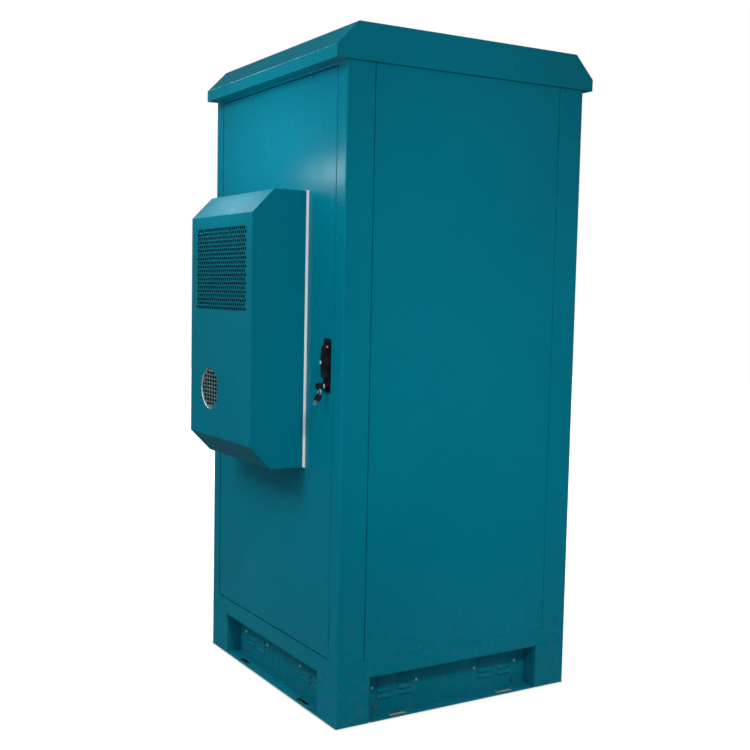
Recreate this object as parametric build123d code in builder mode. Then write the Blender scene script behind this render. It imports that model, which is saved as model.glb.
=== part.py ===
from build123d import *
import os

# A roadside equipment cabinet: recessed plinth, folded body, roof hood, one front door that carries
# a cooling unit and a swing handle with a lock. Millimetres, +Z up, X to the right of someone who
# faces the door, front towards -Y, origin on the ground under the middle of the body.

os.makedirs("parts", exist_ok=True)

# Body and plinth
body_width = 900.0
body_depth = 900.0
plinth_height = 145.0
body_height = 1865.0
sheet = 2.0
corner_bend = 4.0
front_strip = 51.5
side_strip = 97.0
strip_return = 22.0
panel_seam = 1.0
panel_fold = 20.0
base_frame_height = 53.0
frame_flange = 40.0
floor_flange = 60.0
head_frame_height = 32.0

# Plinth
plinth_sheet = 3.0
plinth_bend = 4.0
plinth_post_width = 120.0
plinth_recess = 60.0
plinth_tab = 72.0
rail_end_gap = 4.5
anchor_spacing = 424.0
anchor_slot_length = 66.0
anchor_slot_width = 17.0
anchor_inset = 20.0
rail_bolt_inset = 50.5
rail_bolt_height = 20.0
rail_bolt_radius = 4.0
rail_bolt_head_radius = 7.0
rail_bolt_head = 5.0
bolt_hole_clearance = 0.2

# Louvred vent plates
vent_plate_width = 198.0
vent_plate_height = 88.0
vent_plate_sheet = 1.2
vent_plate_inset = 124.5
vent_plate_middle = 82.0
vent_window_width = 150.0
vent_window_height = 76.0
louvre_width = 53.0
louvre_height = 12.0
louvre_depth = 6.0
louvre_wall = 1.2
louvre_pitch = 19.5
louvre_rows = 4
louvre_column_spacing = 79.0
louvre_columns = 2

# Roof
roof_lap = 25.0
roof_lip = 37.0
roof_fold = 73.0
roof_overhang = 38.0
roof_side_gap = 1.0
roof_return_gap = 2.0
support_width = 60.0
support_foot = 25.0
support_end_gap = 60.0
support_inset = 200.0

# Floor and ceiling
cable_entry_width = 360.0
cable_entry_depth = 130.0
cable_entry_inset = 200.0
gland_plate_margin = 25.0
gland_radius = 24.0
gland_spacing = 80.0
gland_count = 4
plate_edge_gap = 0.5

# Door and its surround
door_gap = 3.0
door_depth = 25.0
door_flange = 14.0
door_hinge_flange = 37.5
door_bend = 2.5
seal_width = 12.0
seal_edge_inset = 1.5
seal_thickness = 11.7
seal_gap = 0.3
lip_cover = 1.5
stiffener_width = 40.0
stiffener_foot = 15.0
stiffener_depth = 20.0
stiffener_inset = 105.5
stiffener_margin = 60.0

# Hinges
hinge_axis_inset = 11.0
hinge_axis_depth = 8.0
hinge_length = 90.0
hinge_knuckle_radius = 5.5
hinge_pin_radius = 3.0
hinge_pin_fit = 0.05
hinge_pin_head_radius = 4.5
hinge_pin_head = 2.0
hinge_knuckle_gap = 0.5
hinge_frame_knuckle = 25.0
hinge_leaf = 3.0
hinge_window_margin = 5.0
hinge_end_distance = 200.0
hinge_frame_leaf_width = 36.0
hinge_leaf_clearance = 3.0
hinge_leaf_reach = 17.5

# Swing handle and lock
handle_inset = 32.0
handle_width = 43.0
handle_margin_above = 25.0
handle_margin_below = 20.0
handle_thickness = 2.0
handle_corner = 5.0
handle_pivot_height = 1152.0
lever_width = 24.0
lever_lift = 0.7
lever_half_thickness = 6.3
lever_lock_gap = 12.0
lever_crown = 3.0
lever_finger_radius = 6.0
lever_finger_height = 6.0
hub_width = 12.0
hub_front_gap = 1.0
hub_clearance = 0.3
hub_slot_depth = 9.0
spindle_radius = 6.0
lever_pin_radius = 2.5
lever_pin_fit = 0.05
lever_pin_length = 27.0
lock_drop = 118.0
lock_boss_radius = 12.0
lock_boss_height = 10.0
plug_radius = 7.0
plug_fit = 0.05
plug_length = 24.0
plug_rim = 1.0
keyway_width = 2.4
keyway_height = 8.0
key_fit = 0.2
key_blade_length = 22.0
key_bow_length = 24.0
key_bow_width = 22.0
key_bow_thickness = 7.0
key_bow_corner = 7.3
key_stop_gap = 2.0
key_hole_radius = 2.6
key_hole_drop = 7.5
ring_radius = 9.0
ring_wire = 1.0
spare_lean = 30.0
spare_blade_length = 15.0
spare_blade_overlap = 1.0
spare_head_length = 24.0
spare_head_width = 20.0

# Lock rods inside the door
cam_thickness = 4.0
cam_skin_gap = 3.0
cam_reach = 10.0
cam_bar_width = 14.0
cam_pin_radius = 3.0
cam_pin_overhang = 0.3
rod_width = 10.0
rod_thickness = 3.0
rod_cam_gap = 1.0
rod_gap = 0.6
rod_lip_gap = 3.0
rod_head_width = 20.0
rod_head_height = 16.0
rod_slot_length = 17.0
rod_slot_height = 10.6
guide_width = 22.0
guide_height = 14.0
guide_clearance = 0.3
guide_distance = 420.0

# Cooling unit
cooler_width = 456.0
cooler_height = 856.0
cooler_depth = 183.0
cooler_x = 6.0
cooler_bottom = 768.0
cooler_fold = 72.0
cooler_sheet = 1.5
cooler_bend = 3.0
cooler_seal_thickness = 9.0
cooler_seal_overlap = 1.0
cooler_seal_width = 11.0
cutout_side_margin = 13.0
cutout_end_margin = 22.0
grille_offset = 1.5
grille_drop = 238.0
grille_columns = 18
grille_rows = 13
grille_pitch_x = 20.5
grille_pitch_z = 20.2
grille_hole = 13.5
port_offset = -77.0
port_rise = 227.0
port_radius = 67.0
port_ring_width = 11.0
port_ring_depth = 3.0
mesh_sheet = 1.2
mesh_pitch_x = 20.0
mesh_pitch_z = 12.6
mesh_hole_width = 16.0
mesh_hole_height = 9.0
chassis_clearance = 2.0
chassis_inner_depth = 120.0
chassis_tray_depth = 100.0
chassis_slot_width = 260.0
chassis_slot_height = 12.0
chassis_slot_pitch = 24.0
chassis_slot_count = 5
chassis_return_drop = 144.0
chassis_supply_rise = 132.0
partition_depth = 62.0

# Cooling unit's inner pieces
coil_margin = 35.0
coil_height = 250.0
coil_depth = 34.0
coil_side_gap = 0.3
coil_grille_gap = 12.0
coil_grooves = 9
coil_groove_width = 12.0
coil_groove_depth = 5.0
fan_frame_depth = 36.0
fan_frame_wall = 14.0
fan_bore_radius = 64.0
fan_tip_gap = 2.0
fan_hub_radius = 22.0
fan_rotor_depth = 22.0
fan_front_gap = 5.0
fan_blades = 7
fan_blade_chord = 19.8
fan_blade_overlap = 2.0
fan_blade_thickness = 1.6
fan_blade_twist = 35.0
fan_shaft_radius = 4.0
fan_shaft_fit = 0.08
fan_arm_width = 12.0
fan_arm_depth = 4.0
compressor_radius = 48.0
compressor_height = 170.0
compressor_offset = 114.0
compressor_dome = 14.0
blower_radius = 85.0
blower_depth = 34.0
blower_rise = 292.0
blower_disc = 2.0
blower_blades = 9
blower_blade_length = 59.0
blower_mount_radius = 30.0
blower_mount_depth = 12.0

# Equipment rails
rack_opening = 450.0
rack_flange = 40.0
rack_return = 30.0
rack_sheet = 2.0
rack_clearance = 40.0
shelf_height = 700.0
shelf_lip = 30.0

# Levels and faces that follow from the sizes above
half_width = body_width / 2
half_depth = body_depth / 2
body_top = plinth_height + body_height
base_top = plinth_height + base_frame_height
head_bottom = body_top - head_frame_height
roof_bottom = body_top - roof_lap
opening_half = half_width - front_strip
opening_top = head_bottom - sheet
web_face = half_depth - plinth_recess
side_web_face = half_width - plinth_recess
door_half = opening_half - door_gap
door_bottom = base_top + door_gap
door_top = opening_top - door_gap
door_middle = (door_bottom + door_top) / 2
skin_back = half_depth - sheet
door_back = half_depth - door_depth
lip_front = door_back - seal_thickness - seal_gap
cooler_back = half_depth + cooler_seal_thickness
cooler_front = cooler_back + cooler_depth
cooler_top = cooler_bottom + cooler_height
cooler_middle = cooler_bottom + cooler_height / 2
cooler_inside = cooler_front - cooler_sheet
cutout_width = cooler_width - 2 * cutout_side_margin
cutout_height = cooler_height - 2 * cutout_end_margin
chassis_back = half_depth - chassis_inner_depth
grille_x = cooler_x + grille_offset
grille_height = cooler_top - grille_drop
port_x = cooler_x + port_offset
port_height = cooler_bottom + port_rise
cable_entry_position = half_depth - cable_entry_inset
handle_x = door_half - handle_inset
lock_height = handle_pivot_height - lock_drop

corners = {
    "front_left": (-1, -1),
    "front_right": (1, -1),
    "rear_left": (-1, 1),
    "rear_right": (1, 1),
}


def folded_strip(points, thickness, bend, inward):
    """Section of one sheet folded along the points of its outer face, with round bends.

    inward is 1 where the metal lies to the left of the path, and -1 where it lies to the right.
    """
    path = [Vector(x, y) for x, y in points]
    headings = [(end - start).normalized() for start, end in zip(path, path[1:])]
    normals = [Vector(-heading.Y, heading.X) * inward for heading in headings]
    back = [path[0] + normals[0] * thickness]
    back_bends = []
    for corner, before, after in zip(path[1:-1], normals, normals[1:]):
        back.append(corner + (before + after) * (thickness / (1 + before.dot(after))))
        inside = before.cross(after).Z * inward > 0
        back_bends.append(bend - thickness if inside else bend + thickness)
    back.append(path[-1] + normals[-1] * thickness)
    with BuildSketch() as section:
        with BuildLine():
            FilletPolyline(*path, radius=bend)
            FilletPolyline(*back, radius=back_bends)
            Line(path[0], back[0])
            Line(path[-1], back[-1])
        make_face()
    return section.sketch_local


def in_corner(points, sign_x, sign_y):
    """Points of the rear right corner, mirrored into another corner of the cabinet."""
    return [(sign_x * x, sign_y * y) for x, y in points]


def corner_side(sign_x, sign_y):
    """Side of a corner outline on which the metal lies, because mirroring swaps it."""
    return -1 if sign_x * sign_y > 0 else 1


def outward_plane(side, distance_x, distance_y):
    """Upright plane that faces out of the front, rear, left or right of the cabinet."""
    frames = {
        "front": Plane((0, -distance_y, 0), x_dir=(1, 0, 0), z_dir=(0, -1, 0)),
        "rear": Plane((0, distance_y, 0), x_dir=(-1, 0, 0), z_dir=(0, 1, 0)),
        "right": Plane((distance_x, 0, 0), x_dir=(0, 1, 0), z_dir=(1, 0, 0)),
        "left": Plane((-distance_x, 0, 0), x_dir=(0, -1, 0), z_dir=(-1, 0, 0)),
    }
    return frames[side]


def section_plane(plane, along):
    """Plane that cuts an upright wall from top to bottom, with its x axis pointing out of the wall."""
    origin = plane.origin + plane.x_dir * along
    return Plane(origin, x_dir=plane.z_dir, z_dir=-plane.x_dir)


def front_plane(distance):
    """Upright plane parallel to the door, the given distance in front of the cabinet's middle."""
    return Plane.XZ.offset(distance)


# Plinth corner posts

post_inner_x = half_width - plinth_post_width
post_inner_y = half_depth - plinth_post_width
rail_half_x = post_inner_x - rail_end_gap
rail_half_y = post_inner_y - rail_end_gap
plinth_post_path = [
    (post_inner_x - plinth_tab, web_face - plinth_sheet),
    (post_inner_x, web_face - plinth_sheet),
    (post_inner_x, half_depth),
    (half_width, half_depth),
    (half_width, post_inner_y),
    (side_web_face - plinth_sheet, post_inner_y),
    (side_web_face - plinth_sheet, post_inner_y - plinth_tab),
]
bolt_hole_radius = rail_bolt_radius + bolt_hole_clearance

for corner, (sign_x, sign_y) in corners.items():
    with BuildPart() as plinth_post:
        with BuildSketch(Plane.XY):
            path = in_corner(plinth_post_path, sign_x, sign_y)
            add(folded_strip(path, plinth_sheet, plinth_bend, corner_side(sign_x, sign_y)))
        extrude(amount=plinth_height)
        with BuildSketch(Plane((0, sign_y * web_face, 0), x_dir=(1, 0, 0), z_dir=(0, -1, 0))):
            with Locations((sign_x * (rail_half_x - rail_bolt_inset), rail_bolt_height)):
                Circle(bolt_hole_radius)
        extrude(amount=2 * plinth_sheet, both=True, mode=Mode.SUBTRACT)
        with BuildSketch(Plane((sign_x * side_web_face, 0, 0), x_dir=(0, 1, 0), z_dir=(1, 0, 0))):
            with Locations((sign_y * (rail_half_y - rail_bolt_inset), rail_bolt_height)):
                Circle(bolt_hole_radius)
        extrude(amount=2 * plinth_sheet, both=True, mode=Mode.SUBTRACT)
    plinth_post.part.label = f"plinth_post_{corner}"
    export_step(plinth_post.part, f"parts/plinth_post_{corner}.step")

# Plinth rails: outward channels with anchor slots below and windows behind the vent plates

rails = {
    "front": rail_half_x,
    "rear": rail_half_x,
    "left": rail_half_y,
    "right": rail_half_y,
}


def pair(offset, height):
    """Two places on a wall, the same distance to both sides of its middle."""
    return [(-offset, height), (offset, height)]


for side, rail_half in rails.items():
    face = outward_plane(side, half_width, half_depth)
    inner = -plinth_recess - plinth_sheet
    rail_path = [(0, 0), (inner, 0), (inner, plinth_height), (0, plinth_height)]
    with BuildPart() as plinth_rail:
        with BuildSketch(section_plane(face, 0)):
            add(folded_strip(rail_path, plinth_sheet, plinth_bend, -1))
        extrude(amount=rail_half, both=True)
        with BuildSketch(face):
            with Locations(*pair(rail_half - vent_plate_inset, vent_plate_middle)):
                Rectangle(vent_window_width, vent_window_height)
            with Locations(*pair(rail_half - rail_bolt_inset, rail_bolt_height)):
                Circle(bolt_hole_radius)
        extrude(amount=inner, mode=Mode.SUBTRACT)
        floor_frame = Plane(face.origin, x_dir=face.x_dir, z_dir=(0, 0, 1))
        with BuildSketch(floor_frame):
            slot_row = -anchor_inset if floor_frame.y_dir.dot(face.z_dir) > 0 else anchor_inset
            with Locations((-anchor_spacing / 2, slot_row), (anchor_spacing / 2, slot_row)):
                SlotOverall(anchor_slot_length, anchor_slot_width)
        extrude(amount=plinth_sheet, mode=Mode.SUBTRACT)
    plinth_rail.part.label = f"plinth_rail_{side}"
    export_step(plinth_rail.part, f"parts/plinth_rail_{side}.step")

# Louvred vent plates, two on each rail: each louvre is a hood pressed out of the plate, open below

slope = (louvre_depth**2 + louvre_height**2) ** 0.5
hood_outline = [(0, louvre_height), (0, 0), (louvre_depth, 0)]
hollow_depth = louvre_depth - louvre_wall * slope / louvre_height
hollow_height = louvre_height - louvre_wall * slope / louvre_depth
hollow_outline = [
    (-vent_plate_sheet, hollow_height),
    (-vent_plate_sheet, 0),
    (hollow_depth, 0),
    (0, hollow_height),
]
louvre_block = (louvre_rows - 1) * louvre_pitch + louvre_height
first_louvre = vent_plate_middle - louvre_block / 2
louvre_levels = [(0, first_louvre + row * louvre_pitch) for row in range(louvre_rows)]
column_middle = (louvre_columns - 1) / 2

for side, rail_half in rails.items():
    wall = outward_plane(side, side_web_face, web_face)
    plate_face = outward_plane(side, side_web_face + vent_plate_sheet, web_face + vent_plate_sheet)
    with BuildPart() as vent_plates:
        with BuildSketch(wall):
            with Locations(*pair(rail_half - vent_plate_inset, vent_plate_middle)):
                Rectangle(vent_plate_width, vent_plate_height)
        extrude(amount=vent_plate_sheet)
        for plate in (vent_plate_inset - rail_half, rail_half - vent_plate_inset):
            for column in range(louvre_columns):
                along = plate + (column - column_middle) * louvre_column_spacing
                cut = section_plane(plate_face, along)
                with BuildSketch(cut):
                    with Locations(*louvre_levels):
                        Polygon(*hood_outline, align=None)
                extrude(amount=louvre_width / 2, both=True)
                with BuildSketch(cut):
                    with Locations(*louvre_levels):
                        Polygon(*hollow_outline, align=None)
                extrude(amount=louvre_width / 2 - louvre_wall, both=True, mode=Mode.SUBTRACT)
    vent_plates.part.label = f"vent_plates_{side}"
    export_step(vent_plates.part, f"parts/vent_plates_{side}.step")

# Bolts that hold the rails to the tabs of the posts

with BuildPart() as plinth_bolts:
    for side, rail_half in rails.items():
        seat = outward_plane(side, side_web_face, web_face)
        bolt_places = pair(rail_half - rail_bolt_inset, rail_bolt_height)
        with BuildSketch(seat):
            with Locations(*bolt_places):
                RegularPolygon(rail_bolt_head_radius, 6)
        extrude(amount=rail_bolt_head)
        with BuildSketch(seat):
            with Locations(*bolt_places):
                RegularPolygon(rail_bolt_radius, 8)
        extrude(amount=-2 * plinth_sheet - rail_bolt_head)
plinth_bolts.part.label = "plinth_bolts"
export_step(plinth_bolts.part, "parts/plinth_bolts.step")


def ring_layers(bottom, height, lower_reach, upper_reach):
    """Bottom level, height and inward reach of the wall and the two flanges of a folded ring."""
    return [
        (bottom, height, sheet),
        (bottom, sheet, lower_reach),
        (bottom + height - sheet, sheet, upper_reach),
    ]


# Bottom frame of the body

with BuildPart() as base_frame:
    for level, height, reach in ring_layers(plinth_height, base_frame_height, floor_flange, frame_flange):
        with BuildSketch(Plane.XY.offset(level)):
            RectangleRounded(body_width, body_depth, corner_bend)
            Rectangle(body_width - 2 * reach, body_depth - 2 * reach, mode=Mode.SUBTRACT)
        extrude(amount=height)
base_frame.part.label = "base_frame"
export_step(base_frame.part, "parts/base_frame.step")

# Head frame, inside the posts and panels at the top of the body

head_width = body_width - 2 * sheet
head_depth = body_depth - 2 * sheet

with BuildPart() as head_frame:
    for level, height, reach in ring_layers(head_bottom, head_frame_height, frame_flange, frame_flange):
        with BuildSketch(Plane.XY.offset(level)):
            RectangleRounded(head_width, head_depth, corner_bend - sheet)
            Rectangle(head_width - 2 * reach, head_depth - 2 * reach, mode=Mode.SUBTRACT)
        extrude(amount=height)
head_frame.part.label = "head_frame"
export_step(head_frame.part, "parts/head_frame.step")

# Body corner posts: the front strip beside the door, the corner and the side strip

corner_post_path = [
    (opening_half, half_depth),
    (half_width, half_depth),
    (half_width, half_depth - side_strip),
    (half_width - strip_return, half_depth - side_strip),
]

for corner, (sign_x, sign_y) in corners.items():
    with BuildPart() as corner_post:
        with BuildSketch(Plane.XY.offset(base_top)):
            path = in_corner(corner_post_path, sign_x, sign_y)
            add(folded_strip(path, sheet, corner_bend, corner_side(sign_x, sign_y)))
        extrude(amount=body_top - base_top)
        with BuildSketch(Plane.XY.offset(head_bottom)):
            RectangleRounded(head_width, head_depth, corner_bend - sheet)
        extrude(amount=head_frame_height, mode=Mode.SUBTRACT)
    corner_post.part.label = f"corner_post_{corner}"
    export_step(corner_post.part, f"parts/corner_post_{corner}.step")

# Side panels between the posts: pans whose edges are folded inwards

side_panel_half = half_depth - side_strip - panel_seam
side_panel_path = [
    (half_width - panel_fold, -side_panel_half),
    (half_width, -side_panel_half),
    (half_width, side_panel_half),
    (half_width - panel_fold, side_panel_half),
]

for side, sign in {"left": -1, "right": 1}.items():
    with BuildPart() as side_panel:
        with BuildSketch(Plane.XY.offset(base_top)):
            path = in_corner(side_panel_path, sign, 1)
            add(folded_strip(path, sheet, door_bend, 1 if sign > 0 else -1))
        extrude(amount=body_top - base_top)
        with BuildSketch(Plane.XY.offset(head_bottom)):
            with Locations((sign * (half_width - sheet - panel_fold / 2), 0)):
                Rectangle(panel_fold, 2 * half_depth)
        extrude(amount=head_frame_height, mode=Mode.SUBTRACT)
    side_panel.part.label = f"{side}_side_panel"
    export_step(side_panel.part, f"parts/{side}_side_panel.step")

# Rear panel between the rear posts

rear_panel_half = opening_half - panel_seam
rear_panel_path = [
    (-rear_panel_half, half_depth - panel_fold),
    (-rear_panel_half, half_depth),
    (rear_panel_half, half_depth),
    (rear_panel_half, half_depth - panel_fold),
]

with BuildPart() as rear_panel:
    with BuildSketch(Plane.XY.offset(base_top)):
        add(folded_strip(rear_panel_path, sheet, door_bend, -1))
    extrude(amount=body_top - base_top)
    with BuildSketch(Plane.XY.offset(head_bottom)):
        with Locations((0, half_depth - sheet - panel_fold / 2)):
            Rectangle(2 * half_width, panel_fold)
    extrude(amount=head_frame_height, mode=Mode.SUBTRACT)
rear_panel.part.label = "rear_panel"
export_step(rear_panel.part, "parts/rear_panel.step")

# Door surround: rebate round the door opening with the lip that the door seal meets

lip_hinge_edge = -door_half + door_hinge_flange - lip_cover
lip_lock_edge = door_half - door_flange - lip_cover
lip_top_edge = door_top - door_flange - lip_cover
lip_bottom_edge = door_bottom + door_flange + lip_cover
hinge_levels = [door_bottom + hinge_end_distance, door_middle, door_top - hinge_end_distance]
hinge_x = -opening_half - hinge_axis_inset
hinge_y = -half_depth + hinge_axis_depth
leaf_back = door_back - hinge_leaf

with BuildPart() as door_surround:
    with BuildSketch(front_plane(lip_front - sheet)):
        with Locations((0, (base_top + opening_top + sheet) / 2)):
            Rectangle(2 * (opening_half + sheet), opening_top + sheet - base_top)
    extrude(amount=skin_back - lip_front + sheet)
    with BuildSketch(front_plane(lip_front)):
        with Locations((0, (base_top + opening_top) / 2)):
            Rectangle(2 * opening_half, opening_top - base_top)
    extrude(amount=skin_back - lip_front, mode=Mode.SUBTRACT)
    with BuildSketch(front_plane(lip_front - sheet)):
        with Locations(((lip_hinge_edge + lip_lock_edge) / 2, (lip_bottom_edge + lip_top_edge) / 2)):
            Rectangle(lip_lock_edge - lip_hinge_edge, lip_top_edge - lip_bottom_edge)
    extrude(amount=sheet, mode=Mode.SUBTRACT)
    window_depth = skin_back - leaf_back + 2 * sheet
    with BuildSketch(Plane.YZ.offset(-opening_half - sheet)):
        with Locations(*[(-skin_back + window_depth / 2, level) for level in hinge_levels]):
            Rectangle(window_depth, hinge_length + 2 * hinge_window_margin)
    extrude(amount=sheet, mode=Mode.SUBTRACT)
door_surround.part.label = "door_surround"
export_step(door_surround.part, "parts/door_surround.step")

# Floor plate with its cable entry, gland plate and ceiling plate

floor_top = plinth_height + 2 * sheet
plate_width = body_width - 2 * sheet - 2 * plate_edge_gap
plate_depth = body_depth - 2 * sheet - 2 * plate_edge_gap

with BuildPart() as floor_plate:
    with BuildSketch(Plane.XY.offset(plinth_height + sheet)):
        Rectangle(plate_width, plate_depth)
        with Locations((0, cable_entry_position)):
            Rectangle(cable_entry_width, cable_entry_depth, mode=Mode.SUBTRACT)
    extrude(amount=sheet)
floor_plate.part.label = "floor_plate"
export_step(floor_plate.part, "parts/floor_plate.step")

with BuildPart() as gland_plate:
    with BuildSketch(Plane.XY.offset(floor_top)):
        with Locations((0, cable_entry_position)):
            Rectangle(
                cable_entry_width + 2 * gland_plate_margin,
                cable_entry_depth + 2 * gland_plate_margin,
            )
            with GridLocations(gland_spacing, 0, gland_count, 1):
                Circle(gland_radius, mode=Mode.SUBTRACT)
    extrude(amount=sheet)
gland_plate.part.label = "gland_plate"
export_step(gland_plate.part, "parts/gland_plate.step")

with BuildPart() as ceiling_plate:
    with BuildSketch(Plane.XY.offset(body_top)):
        Rectangle(plate_width, plate_depth)
    extrude(amount=sheet)
ceiling_plate.part.label = "ceiling_plate"
export_step(ceiling_plate.part, "parts/ceiling_plate.step")

# Roof hood: one sheet folded over the front and rear, closed by side cheeks

eave_y = half_depth + roof_overhang
ridge_y = eave_y - roof_fold
lip_top = roof_bottom + roof_lip
roof_top = lip_top + roof_fold
corner_inset = sheet * (2**0.5 - 1)
hood_half_width = half_width + roof_side_gap + sheet
hood_return = half_depth + roof_return_gap
hood_outside = [
    (-eave_y, roof_bottom),
    (-eave_y, lip_top),
    (-ridge_y, roof_top),
    (ridge_y, roof_top),
    (eave_y, lip_top),
    (eave_y, roof_bottom),
]
hood_inside = [
    (-hood_return, roof_bottom),
    (-hood_return, roof_bottom + sheet),
    (-eave_y + sheet, roof_bottom + sheet),
    (-eave_y + sheet, lip_top - corner_inset),
    (-ridge_y + corner_inset, roof_top - sheet),
    (ridge_y - corner_inset, roof_top - sheet),
    (eave_y - sheet, lip_top - corner_inset),
    (eave_y - sheet, roof_bottom + sheet),
    (hood_return, roof_bottom + sheet),
    (hood_return, roof_bottom),
]

with BuildPart() as roof_hood:
    with BuildSketch(Plane.YZ):
        Polygon(*hood_outside, align=None)
    extrude(amount=hood_half_width, both=True)
    fold_edges = roof_hood.edges().filter_by(Axis.X).group_by(Axis.Z)[1:]
    fillet([edge for level in fold_edges for edge in level], radius=door_bend)
    with BuildSketch(Plane.YZ):
        Polygon(*hood_inside, align=None)
    extrude(amount=hood_half_width - sheet, both=True, mode=Mode.SUBTRACT)
roof_hood.part.label = "roof_hood"
export_step(roof_hood.part, "parts/roof_hood.step")

# Roof supports: hat channels on the ceiling plate that carry the hood

support_base = body_top + sheet
support_rise = roof_top - sheet - support_base
support_half = support_width / 2
support_path = [
    (-support_half - support_foot, support_base + sheet),
    (-support_half, support_base + sheet),
    (-support_half, support_base + support_rise),
    (support_half, support_base + support_rise),
    (support_half, support_base + sheet),
    (support_half + support_foot, support_base + sheet),
]

with BuildPart() as roof_supports:
    for place in (support_inset - half_depth, half_depth - support_inset):
        with BuildSketch(Plane.YZ):
            path = [(place + y, z) for y, z in support_path]
            add(folded_strip(path, sheet, door_bend, -1))
        extrude(amount=half_width - support_end_gap, both=True)
roof_supports.part.label = "roof_supports"
export_step(roof_supports.part, "parts/roof_supports.step")

# Door panel: skin with folded edges and a flange behind, cut out for the cooling unit and the lock

door_height = door_top - door_bottom

with BuildPart() as door_panel:
    with BuildSketch(front_plane(door_back)):
        with Locations((0, door_middle)):
            Rectangle(2 * door_half, door_height)
    extrude(amount=door_depth)
    front_edges = door_panel.faces().sort_by(Axis.Y)[0].edges()
    fillet(front_edges, radius=door_bend)
    with BuildSketch(front_plane(door_back + sheet)):
        with Locations((0, door_middle)):
            Rectangle(2 * (door_half - sheet), door_height - 2 * sheet)
    extrude(amount=door_depth - 2 * sheet, mode=Mode.SUBTRACT)
    with BuildSketch(front_plane(door_back)):
        with Locations(((door_hinge_flange - door_flange) / 2, door_middle)):
            Rectangle(2 * door_half - door_hinge_flange - door_flange, door_height - 2 * door_flange)
    extrude(amount=sheet, mode=Mode.SUBTRACT)
    with BuildSketch(front_plane(skin_back)):
        with Locations((cooler_x, cooler_middle)):
            Rectangle(cutout_width, cutout_height)
        with Locations((handle_x, handle_pivot_height)):
            Circle(spindle_radius + hub_clearance)
        with Locations((handle_x, lock_height)):
            Circle(plug_radius + hub_clearance)
    extrude(amount=sheet, mode=Mode.SUBTRACT)
door_panel.part.label = "door_panel"
export_step(door_panel.part, "parts/door_panel.step")

# Door stiffeners: upright hat channels on the back of the skin

stiffener_half = stiffener_width / 2
stiffener_path = [
    (-stiffener_half - stiffener_foot, -skin_back + sheet),
    (-stiffener_half, -skin_back + sheet),
    (-stiffener_half, -skin_back + stiffener_depth),
    (stiffener_half, -skin_back + stiffener_depth),
    (stiffener_half, -skin_back + sheet),
    (stiffener_half + stiffener_foot, -skin_back + sheet),
]

with BuildPart() as door_stiffeners:
    for place in (stiffener_inset - door_half, door_half - stiffener_inset):
        with BuildSketch(Plane.XY.offset(door_bottom + stiffener_margin)):
            path = [(place + x, y) for x, y in stiffener_path]
            add(folded_strip(path, sheet, door_bend, -1))
        extrude(amount=door_height - 2 * stiffener_margin)
door_stiffeners.part.label = "door_stiffeners"
export_step(door_stiffeners.part, "parts/door_stiffeners.step")

# Door seal on the flange behind the door

seal_lock_x = door_half - seal_edge_inset
seal_hinge_x = -door_half + door_hinge_flange - seal_edge_inset - seal_width
seal_bottom = door_bottom + seal_edge_inset
seal_top = door_top - seal_edge_inset
seal_middle = ((seal_hinge_x + seal_lock_x) / 2, (seal_bottom + seal_top) / 2)

with BuildPart() as door_seal:
    with BuildSketch(front_plane(door_back)):
        with Locations(seal_middle):
            Rectangle(seal_lock_x - seal_hinge_x, seal_top - seal_bottom)
            Rectangle(
                seal_lock_x - seal_hinge_x - 2 * seal_width,
                seal_top - seal_bottom - 2 * seal_width,
                mode=Mode.SUBTRACT,
            )
    extrude(amount=-seal_thickness)
door_seal.part.label = "door_seal"
export_step(door_seal.part, "parts/door_seal.step")

# Hinges: the frame leaf lies behind the post strip, the door leaf wraps round the strip's edge

hinge_half = hinge_length / 2
door_knuckle_half = hinge_half - hinge_frame_knuckle - hinge_knuckle_gap
hinge_bore = hinge_pin_radius + hinge_pin_fit
strip_back = -half_depth + sheet

with BuildPart() as hinge_frame_leaves:
    for level in hinge_levels:
        with BuildSketch(Plane.XY.offset(level - hinge_half)):
            with Locations((hinge_x - hinge_frame_leaf_width / 2, strip_back + hinge_leaf / 2)):
                Rectangle(hinge_frame_leaf_width, hinge_leaf)
            with Locations((hinge_x, hinge_y)):
                Circle(hinge_knuckle_radius)
        extrude(amount=hinge_length)
        clear_edge = hinge_x - hinge_knuckle_radius - hinge_leaf_clearance
        with BuildSketch(Plane.XY.offset(level - door_knuckle_half - hinge_knuckle_gap)):
            with Locations((clear_edge + hinge_frame_leaf_width / 2, hinge_y)):
                Rectangle(hinge_frame_leaf_width, 4 * hinge_knuckle_radius)
        extrude(amount=2 * (door_knuckle_half + hinge_knuckle_gap), mode=Mode.SUBTRACT)
        with BuildSketch(Plane.XY.offset(level - hinge_half)):
            with Locations((hinge_x, hinge_y)):
                Circle(hinge_bore)
        extrude(amount=hinge_length, mode=Mode.SUBTRACT)
hinge_frame_leaves.part.label = "hinge_frame_leaves"
export_step(hinge_frame_leaves.part, "parts/hinge_frame_leaves.step")

leaf_outer_x = hinge_x - hinge_knuckle_radius
leaf_end_x = -door_half + hinge_leaf_reach

with BuildPart() as hinge_door_leaves:
    for level in hinge_levels:
        with BuildSketch(Plane.XY.offset(level - door_knuckle_half)):
            with Locations((hinge_x, hinge_y)):
                Circle(hinge_knuckle_radius)
            with Locations((leaf_outer_x + hinge_leaf / 2, (hinge_y - leaf_back) / 2)):
                Rectangle(hinge_leaf, -leaf_back - hinge_y)
            with Locations(((leaf_outer_x + leaf_end_x) / 2, -leaf_back - hinge_leaf / 2)):
                Rectangle(leaf_end_x - leaf_outer_x, hinge_leaf)
            with Locations((hinge_x, hinge_y)):
                Circle(hinge_bore, mode=Mode.SUBTRACT)
        extrude(amount=2 * door_knuckle_half)
hinge_door_leaves.part.label = "hinge_door_leaves"
export_step(hinge_door_leaves.part, "parts/hinge_door_leaves.step")

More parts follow.
